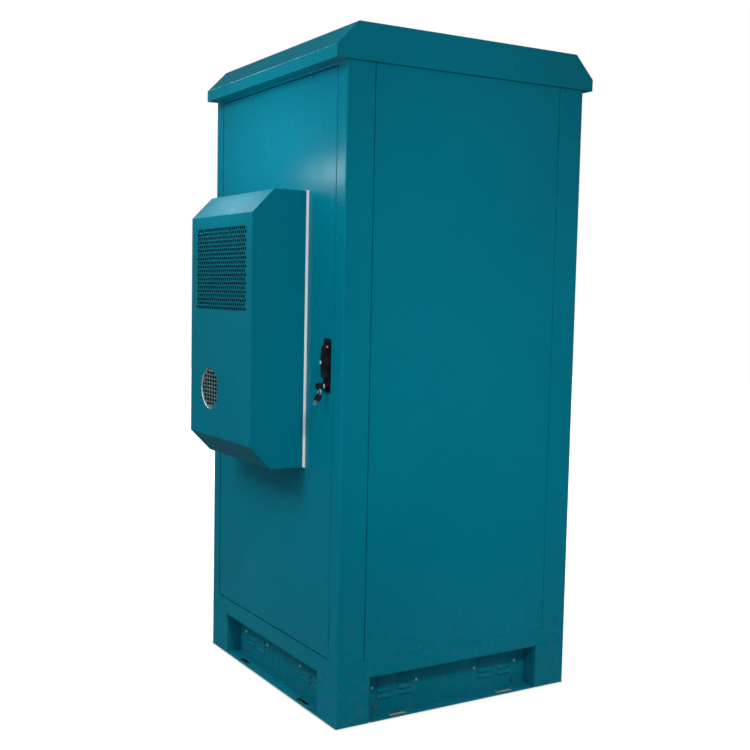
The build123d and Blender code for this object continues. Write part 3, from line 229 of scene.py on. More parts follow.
def combine(nodes, links, operation, *values):
    """Value worked out from one or two others."""
    node = nodes.new("ShaderNodeMath")
    node.operation = operation
    for value, socket in zip(values, node.inputs):
        links.new(value, socket)
    return node.outputs[0]


def blend_color(nodes, links, amount, first, second):
    """Colour between two colours or sockets, by an amount of 0 to 1."""
    node = nodes.new("ShaderNodeMix")
    node.data_type = "RGBA"
    links.new(amount, node.inputs["Factor"])
    for socket, color in ((node.inputs[6], first), (node.inputs[7], second)):
        if isinstance(color, bpy.types.NodeSocket):
            links.new(color, socket)
        else:
            socket.default_value = (*color, 1)
    return node.outputs[2]


def soft_edges(nodes, radius):
    """Normal of the surface with its edges rounded by the given radius."""
    bevel = nodes.new("ShaderNodeBevel")
    bevel.samples = 4
    bevel.inputs["Radius"].default_value = radius
    return bevel.outputs["Normal"]


def bump(nodes, links, height, surface, strength, distance, base_normal=None):
    """Fine relief from a height value, on top of another normal where one is given."""
    node = nodes.new("ShaderNodeBump")
    node.inputs["Strength"].default_value = strength
    node.inputs["Distance"].default_value = distance
    links.new(height, node.inputs["Height"])
    if base_normal is not None:
        links.new(base_normal, node.inputs["Normal"])
    links.new(node.outputs["Normal"], surface.inputs["Normal"])


def painted_sheet(name, color, deep, specular, roughness, edge):
    """Powder coat: fine peel, slow change of tone over each panel, and dust low down."""
    _, nodes, links, surface, place = shader(
        name, color, roughness=roughness, specular=specular
    )
    surface.inputs["Specular Tint"].default_value = (*COAT_GLOSS_TINT, 1)
    tone = noise(nodes, links, place, scale=1.7, detail=3)
    paint = blend_color(nodes, links, remap(nodes, links, tone, 0.3, 0.7, 0, 1), color, deep)
    split = nodes.new("ShaderNodeSeparateXYZ")
    links.new(place, split.inputs["Vector"])
    low = remap(nodes, links, split.outputs["Z"], 0.0, DUST_TOP, 1, 0)
    spots = noise(nodes, links, place, scale=55, detail=5)
    spots = remap(nodes, links, spots, 0.45, 0.75, 0, DUST_COVER)
    dust = combine(nodes, links, "MULTIPLY", low, spots)
    paint = blend_color(nodes, links, dust, paint, DUST_COLOR)
    links.new(paint, surface.inputs["Base Color"])
    sheen = noise(nodes, links, place, scale=9, detail=4)
    sheen = remap(nodes, links, sheen, 0.35, 0.65, roughness - 0.02, roughness + 0.03)
    links.new(sheen, surface.inputs["Roughness"])
    peel = noise(nodes, links, place, scale=620, detail=1)
    rounded = soft_edges(nodes, edge)
    bump(nodes, links, peel, surface, strength=0.06, distance=0.3 * MM, base_normal=rounded)


def zinc_sheet(name, color, roughness, spangle, metallic=1.0):
    """Galvanised steel: spangle cells that differ in tone, with fine scratches."""
    _, nodes, links, surface, place = shader(
        name, color, metallic=metallic, roughness=roughness
    )
    cells = nodes.new("ShaderNodeTexVoronoi")
    cells.inputs["Scale"].default_value = spangle
    links.new(place, cells.inputs["Vector"])
    split = nodes.new("ShaderNodeSeparateColor")
    links.new(cells.outputs["Color"], split.inputs["Color"])
    dull = tuple(0.78 * channel for channel in color)
    tone = blend_color(nodes, links, split.outputs["Red"], color, dull)
    links.new(tone, surface.inputs["Base Color"])
    rough = remap(nodes, links, split.outputs["Green"], 0, 1, roughness - 0.08, roughness + 0.1)
    links.new(rough, surface.inputs["Roughness"])
    scratches = noise(nodes, links, place, scale=900, detail=2, stretch=(1, 1, 0.05))
    rounded = soft_edges(nodes, STEEL_EDGE)
    bump(nodes, links, scratches, surface, strength=0.08, distance=0.2 * MM, base_normal=rounded)


def moulded(name, color, roughness, grain, specular=0.4):
    """Moulded plastic or cast black: fine grain, slightly uneven gloss, patches of worn tone."""
    _, nodes, links, surface, place = shader(
        name, color, roughness=roughness, specular=specular
    )
    worn = tuple(min(1.0, channel * 1.5 + 0.008) for channel in color)
    tone = noise(nodes, links, place, scale=40, detail=4)
    tone = blend_color(nodes, links, remap(nodes, links, tone, 0.45, 0.7, 0, 1), color, worn)
    links.new(tone, surface.inputs["Base Color"])
    uneven = noise(nodes, links, place, scale=90, detail=3)
    uneven = remap(nodes, links, uneven, 0.3, 0.7, roughness - 0.06, roughness + 0.08)
    links.new(uneven, surface.inputs["Roughness"])
    fine = noise(nodes, links, place, scale=grain, detail=2)
    rounded = soft_edges(nodes, MOULDED_EDGE)
    bump(nodes, links, fine, surface, strength=0.15, distance=0.2 * MM, base_normal=rounded)


def keyed(name, dark, steel, along, level):
    """Key with a black moulded head and a steel blade.

    It is steel where the distance along an axis is below a level, over a step of KEY_STEP.
    """
    moulded(name, dark, roughness=0.45, grain=2200, specular=0.3)
    material = bpy.data.materials[name]
    nodes, links = material.node_tree.nodes, material.node_tree.links
    surface = nodes["Principled BSDF"]
    place = nodes.new("ShaderNodeTexCoord").outputs["Object"]
    distance = nodes.new("ShaderNodeVectorMath")
    distance.operation = "DOT_PRODUCT"
    distance.inputs[1].default_value = along
    links.new(place, distance.inputs[0])
    half_step = KEY_STEP / 2
    blade = remap(
        nodes, links, distance.outputs["Value"], level - half_step, level + half_step, 1, 0
    )
    head = surface.inputs["Base Color"].links[0].from_socket
    links.new(blend_color(nodes, links, blade, head, steel), surface.inputs["Base Color"])
    links.new(blade, surface.inputs["Metallic"])


def foam(name, color):
    """Closed-cell foam strip: small cells, matt, a little painted shade in the pits."""
    _, nodes, links, surface, place = shader(name, color, roughness=0.85, specular=0.2)
    cells = nodes.new("ShaderNodeTexVoronoi")
    cells.inputs["Scale"].default_value = 700
    links.new(place, cells.inputs["Vector"])
    depth = cells.outputs["Distance"]
    shade = tuple(0.8 * channel for channel in color)
    tone = blend_color(nodes, links, remap(nodes, links, depth, 0.0, 0.6, 0, 1), color, shade)
    links.new(tone, surface.inputs["Base Color"])
    rounded = soft_edges(nodes, FOAM_EDGE)
    bump(nodes, links, depth, surface, strength=0.25, distance=0.4 * MM, base_normal=rounded)


def finned(name, color, pitch):
    """Finned heat exchanger face: upright fins, dark and with black gaps, both painted shade."""
    _, nodes, links, surface, place = shader(name, color, roughness=0.6, specular=0.2)
    waves = nodes.new("ShaderNodeTexWave")
    waves.wave_type = "BANDS"
    waves.bands_direction = "X"
    waves.inputs["Scale"].default_value = math.pi / (10 * pitch)
    links.new(place, waves.inputs["Vector"])
    gap = remap(nodes, links, waves.outputs["Fac"], 0.25, 0.6, 1, 0)
    # Painted shade: black in the gaps between the fins
    tone = blend_color(nodes, links, gap, color, (0.006, 0.006, 0.007))
    links.new(tone, surface.inputs["Base Color"])
    bump(nodes, links, waves.outputs["Fac"], surface, strength=0.6, distance=0.8 * MM)


# Sizes and colours that a user would change


class CabinetFinish(bpy.types.PropertyGroup):
    """Coat of the body and the fine measures of the finishes"""

    paint: FloatVectorProperty(
        name="Paint", description="Teal powder coat of the body",
        subtype="COLOR", size=3, default=(0.0, 0.165, 0.236),
    )
    paint_deep: FloatVectorProperty(
        name="Paint, deep", description="Darker tone of the same coat",
        subtype="COLOR", size=3, default=(0.0, 0.148, 0.214),
    )
    paint_gloss: FloatProperty(
        name="Gloss", description="Specular level of the coat", default=0.2, min=0, max=1
    )
    paint_roughness: FloatProperty(
        name="Roughness", description="Roughness of the coat", default=0.25, min=0, max=1
    )
    fold_radius: FloatProperty(
        name="Fold radius", description="Rounding of the sheet's edges",
        default=2.5 * MM, unit="LENGTH",
    )
    louvre_radius: FloatProperty(
        name="Louvre radius", description="Rounding of the thin vent plates' edges",
        default=0.4 * MM, unit="LENGTH",
    )
    fin_pitch: FloatProperty(
        name="Fin pitch", description="Distance between the fins of the coils",
        default=2.4 * MM, unit="LENGTH",
    )


class CoolerCoverSizes(bpy.types.PropertyGroup):
    """Sizes of the cooling unit's cover"""

    wall: FloatProperty(
        name="Wall", description="Sheet thickness", default=1.5 * MM, unit="LENGTH"
    )
    bend: FloatProperty(
        name="Bend", description="Outer radius of the folds", default=4 * MM, unit="LENGTH"
    )
    fold: FloatProperty(
        name="Fold", description="Rise and depth of the slanted ends",
        default=72 * MM, unit="LENGTH",
    )
    pitch: FloatProperty(
        name="Pitch", description="Distance between holes in a row",
        default=15 * MM, unit="LENGTH",
    )
    row_pitch: FloatProperty(
        name="Row pitch", description="Distance between rows", default=13.1 * MM, unit="LENGTH"
    )
    hole: FloatProperty(
        name="Hole", description="Diameter of a grille hole", default=12.6 * MM, unit="LENGTH"
    )
    columns: IntProperty(name="Columns", description="Holes in a long row", default=25)
    rows: IntProperty(name="Rows", description="Rows of holes", default=20)
    grille_left: FloatProperty(
        name="Grille left", description="Left edge of the grille",
        default=-180 * MM, unit="LENGTH",
    )
    grille_bottom: FloatProperty(
        name="Grille bottom", description="Lower edge of the grille",
        default=1252 * MM, unit="LENGTH",
    )
    port_x: FloatProperty(
        name="Port X", description="Centre of the round port", default=-71 * MM, unit="LENGTH"
    )
    port_z: FloatProperty(
        name="Port Z", description="Centre of the round port", default=995 * MM, unit="LENGTH"
    )
    port_radius: FloatProperty(
        name="Port radius", description="Radius of the round port", default=67 * MM, unit="LENGTH"
    )


class VentPlateSizes(bpy.types.PropertyGroup):
    """Sizes of the louvred vent plates"""

    width: FloatProperty(
        name="Width", description="Width of a plate", default=198 * MM, unit="LENGTH"
    )
    height: FloatProperty(
        name="Height", description="Height of a plate", default=88 * MM, unit="LENGTH"
    )
    sheet: FloatProperty(
        name="Sheet", description="Sheet thickness", default=0.8 * MM, unit="LENGTH"
    )
    offset: FloatProperty(
        name="Offset", description="Plate centre from the cabinet's middle",
        default=201 * MM, unit="LENGTH",
    )
    middle: FloatProperty(
        name="Middle", description="Height of the plate centre", default=82 * MM, unit="LENGTH"
    )
    hood_width: FloatProperty(
        name="Louvre width", description="Width of one louvre", default=56 * MM, unit="LENGTH"
    )
    hood_height: FloatProperty(
        name="Louvre height", description="Height of one louvre", default=12 * MM, unit="LENGTH"
    )
    hood_depth: FloatProperty(
        name="Louvre depth", description="How far a louvre stands out",
        default=6 * MM, unit="LENGTH",
    )
    cheek: FloatProperty(
        name="Louvre end", description="Run of a louvre's steep ends",
        default=1.5 * MM, unit="LENGTH",
    )
    pitch: FloatProperty(
        name="Louvre pitch", description="Distance between louvres",
        default=19.5 * MM, unit="LENGTH",
    )
    column_spacing: FloatProperty(
        name="Column spacing", description="Distance between the two columns",
        default=79 * MM, unit="LENGTH",
    )
    rows: IntProperty(name="Rows", description="Louvres above each other", default=4)


class ScrewSizes(bpy.types.PropertyGroup):
    """Sizes of the vent plates' screws"""

    radius: FloatProperty(
        name="Head radius", description="Radius of a screw head", default=4.5 * MM, unit="LENGTH"
    )
    height: FloatProperty(
        name="Head height", description="Height of a screw head", default=2.6 * MM, unit="LENGTH"
    )
    offset: FloatProperty(
        name="Offset", description="Screw from the plate's middle",
        default=84.5 * MM, unit="LENGTH",
    )


class FingerCapSizes(bpy.types.PropertyGroup):
    """Size and place of the finger tab's cap"""

    x: FloatProperty(
        name="X", description="Place across the door", default=363.5 * MM, unit="LENGTH"
    )
    face: FloatProperty(
        name="Face", description="Front of the lever's finger tab",
        default=-474.3 * MM, unit="LENGTH",
    )
    height: FloatProperty(
        name="Height", description="Height above the ground", default=1105 * MM, unit="LENGTH"
    )
    radius: FloatProperty(
        name="Radius", description="Radius of the steel cap", default=5.4 * MM, unit="LENGTH"
    )
    rise: FloatProperty(
        name="Rise", description="Crown of the cap", default=0.9 * MM, unit="LENGTH"
    )


class StageSizes(bpy.types.PropertyGroup):
    """Lights, surroundings and floor"""

    key_power: FloatProperty(
        name="Key light", description="Power of the key light", default=206, unit="POWER"
    )
    top_power: FloatProperty(
        name="Top light", description="Power of the light on the upper front",
        default=1.5, unit="POWER",
    )
    fill_power: FloatProperty(
        name="Fill light", description="Power of the fill light", default=5.4, unit="POWER"
    )
    rear_power: FloatProperty(
        name="Rear light", description="Power of the light on the rear and left side",
        default=240, unit="POWER",
    )
    edge_power: FloatProperty(
        name="Edge light", description="Power of the small light that glints on folds",
        default=20, unit="POWER",
    )
    slant_power: FloatProperty(
        name="Slant light", description="Power of the light on the cover's upper slant",
        default=0.075, unit="POWER",
    )
    sheen_power: FloatProperty(
        name="Sheen light", description="Power of the light mirrored in slanted faces",
        default=0.12, unit="POWER",
    )
    sky: FloatProperty(
        name="Sky", description="Brightness of the surroundings", default=0.55, min=0
    )
    gloss: FloatProperty(
        name="Reflected sky", description="Surroundings as glossy faces see them",
        default=0.05, min=0,
    )
    floor_radius: FloatProperty(
        name="Floor radius", description="Radius of the floor", default=14.0, unit="LENGTH"
    )


# Operators


# Finish of each node of the construction; every other node is painted
FINISH_OF_NODES = {
    "rubber": ["door_seal"],
    "foam": ["cooler_seal", "port_ring"],
    "bright": ["hinge_pins", "lever_pin", "lock_plug", "key_ring"],
    "handle_black": ["handle_base", "lever", "handle_hub"],
    "key_in_lock": ["key"],
    "key_on_ring": ["spare_key"],
    "plastic_black": ["rod_guides", "fan_frame", "condenser_fan", "blower_wheel"],
    "guard_grey": ["port_mesh"],
    "machine_black": ["compressor", "blower_motor"],
    "fins": ["condenser_coil", "evaporator_coil"],
    "zinc": [
        "floor_plate", "gland_plate", "ceiling_plate", "roof_supports", "door_stiffeners",
        "hinge_frame_leaves", "hinge_door_leaves", "rack_rails", "equipment_shelf",
        "cooler_chassis", "lock_cam", "upper_lock_rod", "lower_lock_rod", "plinth_bolts",
    ],
}


class CABINET_OT_finishes(bpy.types.Operator):
    """Make the finishes and give one to every piece of the construction"""

    bl_idname = "cabinet.finishes"
    bl_label = "Finishes"

    def execute(self, context):
        finish = context.scene.cabinet_finish
        coat = {
            "color": tuple(finish.paint),
            "deep": tuple(finish.paint_deep),
            "specular": finish.paint_gloss,
            "roughness": finish.paint_roughness,
        }
        painted_sheet("paint", **coat, edge=finish.fold_radius)
        painted_sheet("louvre_paint", **coat, edge=finish.louvre_radius)
        zinc_sheet("zinc", (0.62, 0.64, 0.66), roughness=0.42, spangle=60)
        zinc_sheet("bright", (0.88, 0.89, 0.9), roughness=0.34, spangle=900, metallic=0.5)
        moulded("handle_black", (0.005, 0.005, 0.006), roughness=0.4, grain=1500, specular=0.2)
        keyed("key_in_lock", KEY_HEAD, KEY_STEEL, along=(0, -1, 0), level=0.4655)
        keyed("key_on_ring", KEY_HEAD, KEY_STEEL, along=(0, 0.5, 0.866), level=0.6138)
        moulded("plastic_black", (0.022, 0.022, 0.024), roughness=0.55, grain=1800)
        moulded("machine_black", (0.02, 0.02, 0.021), roughness=0.4, grain=1200)
        moulded("guard_grey", (0.075, 0.14, 0.155), roughness=0.5, grain=2500)
        moulded("rubber", (0.02, 0.02, 0.02), roughness=0.8, grain=1400, specular=0.25)
        foam("foam", (0.97, 0.975, 0.97))
        # Coils coloured near black as painted shade, seen through the cover's holes
        finned("fins", (0.012, 0.014, 0.018), finish.fin_pitch)
        chosen = {node: name for name, nodes in FINISH_OF_NODES.items() for node in nodes}
        for name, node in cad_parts.items():
            node.data.materials.clear()
            node.data.materials.append(bpy.data.materials[chosen.get(name, "paint")])
        return {"FINISHED"}


PORT_MARGIN = 6 * MM  # least width of the sheet between the port and its square
PORT_STEPS = 12  # lattice columns that half the port's square is a multiple of
FOLD_STEPS = 5  # of a round bend


def between(values, low, high):
    """Values of a row from low to high, both included."""
    return values[(values > low - CLOSE) & (values < high + CLOSE)]


def front_sheet(x, z):
    """Flat grid of the cover's front, over the given columns and rows."""
    grid_x, grid_z = np.meshgrid(x, z)
    return np.stack([grid_x, np.full_like(grid_x, COVER_LOW.y), grid_z], axis=-1)


class CABINET_OT_cooler_cover(bpy.types.Operator):
    """Cover of the cooling unit, with its staggered round holes and the port"""

    bl_idname = "cabinet.cooler_cover"
    bl_label = "Cooling unit cover"

    def execute(self, context):
        """The cover is a profile in Y and Z carried along X, with flat cheeks.

        Its flat front is a lattice of quarter-pitch columns and half-pitch rows. Each hole is a
        ring between a circle and the outline of its cell, and the port is a ring between its
        circle and a square of the lattice.
        """
        size = context.scene.cabinet_cooler_cover
        left, right = COVER_LOW.x, COVER_HIGH.x
        step_x, step_z = size.pitch / 4, size.row_pitch / 2
        lattice_x = size.grille_left + step_x * np.arange(4 * size.columns + 1)
        lattice_z = size.grille_bottom + step_z * np.arange(2 * size.rows + 1)
        # Where the flat front ends and the bend begins: the fold turns the sheet by 45 degrees
        inset = size.fold + size.bend * math.tan(math.radians(22.5))
        flat_bottom, flat_top = COVER_LOW.z + inset, COVER_HIGH.z - inset
        half = PORT_STEPS * math.ceil((size.port_radius + PORT_MARGIN) / (PORT_STEPS * step_x))
        middle = round((size.port_x - size.grille_left) / step_x)
        block_x = lattice_x[middle - half : middle + half + 1]
        block_z = size.port_z + (block_x - lattice_x[middle])
        below = [flat_bottom, *np.linspace(flat_bottom, block_z[0], 3)[1:]]
        xs = np.unique(np.round([left, right, *lattice_x], 7))
        zs = np.unique(np.round([*below, *block_z, *lattice_z, flat_top], 7))

        plain = (
            (left, right, flat_bottom, block_z[0]),
            (left, right, block_z[-1], lattice_z[0]),
            (left, right, lattice_z[-1], flat_top),
            (left, block_x[0], block_z[0], block_z[-1]),
            (block_x[-1], right, block_z[0], block_z[-1]),
            (left, lattice_x[0], lattice_z[0], lattice_z[-1]),
            (lattice_x[-1], right, lattice_z[0], lattice_z[-1]),
        )
        grids = [
            front_sheet(between(xs, x_low, x_high), between(zs, z_low, z_high))
            for x_low, x_high, z_low, z_high in plain
        ]
        grids.append(self.port_ring(size, lattice_x[middle], half, step_x))
        grids += self.grille(size, lattice_x, lattice_z)
        grids += self.folds_and_cheeks(size, xs, between(zs, flat_bottom, flat_top))
        piece = new_piece(
            "cooler_cover_sheet", grids, "paint", "door", size.wall, turn_faces=True
        )
        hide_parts("cooler_cover")
        return {"FINISHED"}

    def port_ring(self, size, centre_x, half, step):
        """Ring of the front between the port's circle and a square of the lattice round it.

        The square is walked once round, and each of its points is joined to the circle's point in
        the same direction, by way of the point halfway.
        """
        edge, side = np.linspace(-1, 1, 2 * half + 1), np.ones(2 * half + 1)
        walk = ((edge, -side), (side, edge), (-edge, side), (-side, -edge))
        square = np.concatenate([np.stack(run, 1)[: 2 * half] for run in walk[:3]])
        square = np.concatenate([square, np.stack(walk[3], 1)])
        outline = square * half * step + [centre_x, size.port_z]
        angle = np.arctan2(square[:, 1], square[:, 0])
        circle = np.stack([np.cos(angle), np.sin(angle)], 1) * size.port_radius
        circle += [size.port_x, size.port_z]
        ring = np.stack([outline, 0.5 * (outline + circle), circle])
        front = np.full(ring.shape[:2], COVER_LOW.y)
        return np.stack([ring[..., 0], front, ring[..., 1]], -1)

    def grille(self, size, lattice_x, lattice_z):
        """Rings round the holes: from the outline of a cell, four columns by two rows, to a circle.

        Every second row has one hole less and is moved by half a pitch, so that half a cell of
        plain sheet is left at each of its ends.
        """
        step_x, step_z = size.pitch / 4, size.row_pitch / 2
        cell_x = np.array([-2, -1, 0, 1, 2, 2, 2, 1, 0, -1, -2, -2, -2]) * step_x
        cell_z = np.array([-1, -1, -1, -1, -1, 0, 1, 1, 1, 1, 1, 0, -1]) * step_z
        angle = np.radians([-135, -112, -90, -68, -45, 0, 45, 68, 90, 112, 135, 180, 225])
        hole_x, hole_z = np.cos(angle) * size.hole / 2, np.sin(angle) * size.hole / 2
        rims = ((cell_x, cell_z), (hole_x, hole_z))
        cell = np.stack([np.stack([x, np.zeros_like(x), z], -1) for x, z in rims])
        grids = []
        for row in range(size.rows):
            short = row % 2
            places = 0.5 + 0.5 * short + np.arange(size.columns - short)
            z = size.grille_bottom + size.row_pitch * (row + 0.5)
            for centre in size.grille_left + size.pitch * places:
                grids.append(cell + [centre, COVER_LOW.y, z])
            if short:
                rows_z = lattice_z[2 * row : 2 * row + 3]
                grids += [front_sheet(lattice_x[:3], rows_z), front_sheet(lattice_x[-3:], rows_z)]
        return grids

    def folds_and_cheeks(self, size, xs, side_z):
        """Slanted ends with round bends, carried along X, and the two flat cheeks beside them.

        The upper end is the lower one mirrored. A cheek spans from the front profile to the back.
        """
        front, back = COVER_LOW.y, COVER_HIGH.y
        bottom, top = COVER_LOW.z, COVER_HIGH.z
        flat_bottom = side_z[0]
        bends = (
            (back, bottom),
            (front + size.fold, bottom),
            (front, bottom + size.fold),
            (front, flat_bottom + size.bend),
        )
        lower = rounded_path(bends, (size.bend, size.bend), FOLD_STEPS)
        lower = lower[lower[:, 1] < flat_bottom + CLOSE]
        lower[-1] = (front, flat_bottom)
        upper = np.stack([lower[:, 0], bottom + top - lower[:, 1]], 1)[::-1]
        grids = []
        for fold in (lower, upper):
            x, y = np.meshgrid(xs, fold[:, 0])
            grids.append(np.stack([x, y, np.meshgrid(xs, fold[:, 1])[1]], -1))
        front_edge = np.stack([np.full_like(side_z, front), side_z], 1)
        edge_line = np.concatenate([lower, front_edge[1:-1], upper])
        back_line = np.stack([np.full(len(edge_line), back), edge_line[:, 1]], 1)
        cheek = np.stack([edge_line, back_line])
        for x in (COVER_LOW.x, COVER_HIGH.x):
            across = np.full(cheek.shape[:2], x)
            grids.append(np.stack([across, cheek[..., 0], cheek[..., 1]], -1))
        return grids


SIDE_TURNS = {"front": 0, "right": 90, "rear": 180, "left": 270}
HEAD_TURN = math.pi / 2.3  # angle of the screw head's dome, from its rim to the socket
HEAD_STEPS = 20  # round the axis
SOCKET_DEPTH = 0.45  # of the head's height


class CABINET_OT_vent_plates(bpy.types.Operator):
    """Vent plates of the plinth with their pressed louvres, and the screws that hold them"""

    bl_idname = "cabinet.vent_plates"
    bl_label = "Vent plates"

    def execute(self, context):
        """A plate is a height field over width and height.

        Inside a louvre the height falls in a straight line from the lip at its lower edge to
        nothing at its upper edge, and drops steeply at both ends. The lip is open towards the
        strip below it.
        """
        size, screw = context.scene.cabinet_vent_plates, context.scene.cabinet_screws
        web_face = -float(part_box("vent_plates_front")[1].y)
        plate, head = self.plate(size), self.screw_head(screw)
        for side, degrees in SIDE_TURNS.items():
            turn = np.array(Matrix.Rotation(math.radians(degrees), 3, "Z"))
            grids, heads = [], []
            for place in (-size.offset, size.offset):
                shift = np.array([place, -web_face - size.sheet, size.middle])
                grids += [(grid + shift) @ turn.T for grid in plate]
                for along in (-screw.offset, screw.offset):
                    heads.append((head + shift + [along, 0, 0]) @ turn.T)
            piece = new_piece(
                f"louvred_plates_{side}", grids, "louvre_paint", "cabinet", size.sheet
            )
            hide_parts(f"vent_plates_{side}")
            screws = new_piece(f"plate_screws_{side}", heads, "bright", "cabinet")
        return {"FINISHED"}

    def plate(self, size):
        """Grids of one plate round its own middle: each louvre and the flat strips between."""
        half_width, half_height = size.width / 2, size.height / 2
        half_hood, middle = size.hood_width / 2, size.column_spacing / 2
        rim = half_hood - size.cheek
        hood_x = np.array([-half_hood, -rim, rim, half_hood])
        x = np.concatenate([[-half_width], hood_x - middle, hood_x + middle, [half_width]])
        reach = np.array([0, 0, 1, 1, 0, 0, 1, 1, 0, 0])
        rise = np.linspace(0, 1, 4)[:, None]
        lips = size.pitch * np.arange(size.rows)
        lips -= (lips[-1] + size.hood_height) / 2
        plate, level = [], -half_height
        for lip in lips:
            plate.append(self.relief(x, [level, lip], 0))
            hood = size.hood_depth * (1 - rise) * reach
            plate.append(self.relief(x, lip + rise[:, 0] * size.hood_height, hood))
            level = lip + size.hood_height
        plate.append(self.relief(x, [level, half_height], 0))
        return plate

    def relief(self, x, z, height):
        """Grid over columns and rows that stands out to -Y by a height."""
        grid_x, grid_z = np.meshgrid(x, z)
        return np.stack([grid_x, np.broadcast_to(-height, grid_x.shape), grid_z], -1)

    def screw_head(self, screw):
        """Turned dome: radius falls with the cosine and height grows with the sine of the angle.

        From the dome's upper rim the profile falls in a straight line to the middle of the socket.
        """
        angle = np.linspace(0, HEAD_TURN, 6)
        radii = [screw.radius, *screw.radius * np.cos(angle), 0]
        dome = screw.height * np.sin(angle) ** 0.9
        return disc_rings(radii, [0, *dome, screw.height * (1 - SOCKET_DEPTH)], HEAD_STEPS)


class CABINET_OT_finger_cap(bpy.types.Operator):
    """Steel cap on the finger tab of the swing handle"""

    bl_idname = "cabinet.finger_cap"
    bl_label = "Finger cap"

    def execute(self, context):
        """A turned dome over a quarter turn: its radius is the cosine and its height the sine."""
        size = context.scene.cabinet_finger_cap
        turn = np.linspace(0, np.pi / 2, 7)
        radii = np.concatenate([[0], size.radius * np.cos(turn)])
        radii[-1] = 0
        heights = np.concatenate([[0], size.rise * np.sin(turn)])
        dome = disc_rings(radii, heights, 32) + [size.x, size.face, size.height]
        piece = new_piece("finger_cap", [dome], "bright", "lever", turn_faces=True)
        return {"FINISHED"}


# Place, target, width and height, and beam in degrees of each light
LAMPS = {
    "key": ((0.6, -5.0, 5.2), (0, -0.4, 0.9), (2.4, 2.4), 180),
    "top": ((0.0, -0.8, 1.74), (0, -0.45, 1.9), (0.8, 0.12), 180),
    "fill": ((4.2, -1.2, 4.4), (0.45, 0, 0.9), (1.0, 1.0), 30),
    "edge": ((-4.4, -1.4, 4.3), (0, 0, 1.6), (0.6, 0.6), 180),
    "rear": ((-3.6, 4.0, 3.6), (0, 0, 1.0), (2.0, 2.0), 180),
    "slant": ((0.0, -0.72, 1.80), (0, -0.6, 1.5), (0.4, 0.05), 50),
    "sheen": ((-1.15, -0.51, 2.21), (0.2, -0.62, 1.56), (0.25, 0.25), 180),
}
FLOOR_COLOR = (0.38, 0.38, 0.38)
FLOOR_TONE = (0.37, 0.37, 0.375)
FLOOR_IN_GLOSS = (0.03, 0.03, 0.03)
# Painted shade under the plinth, seen through the anchor slots: dark, lighter brown towards +X
UNDER_PLINTH_SHADE_DARK = (0.012, 0.008, 0.008)
UNDER_PLINTH_SHADE_LIGHT = (0.42, 0.31, 0.22)
UNDER_PLINTH_SHADE_TURN = (0.3, 0.36)  # X over which the painted shade under the plinth goes from dark to light
PLINTH_LINE = (0.44, 0.46)  # distance from the middle, in which the painted shade under the plinth gives way to the floor
FLOOR_GLOW = 1.45
GLOW_BESIDE, GLOW_BEYOND = 0.6, 0.4  # shares of the glow, by the plinth and added further out
WHITE_FROM = 2.0  # distance from the middle at which the glow is full


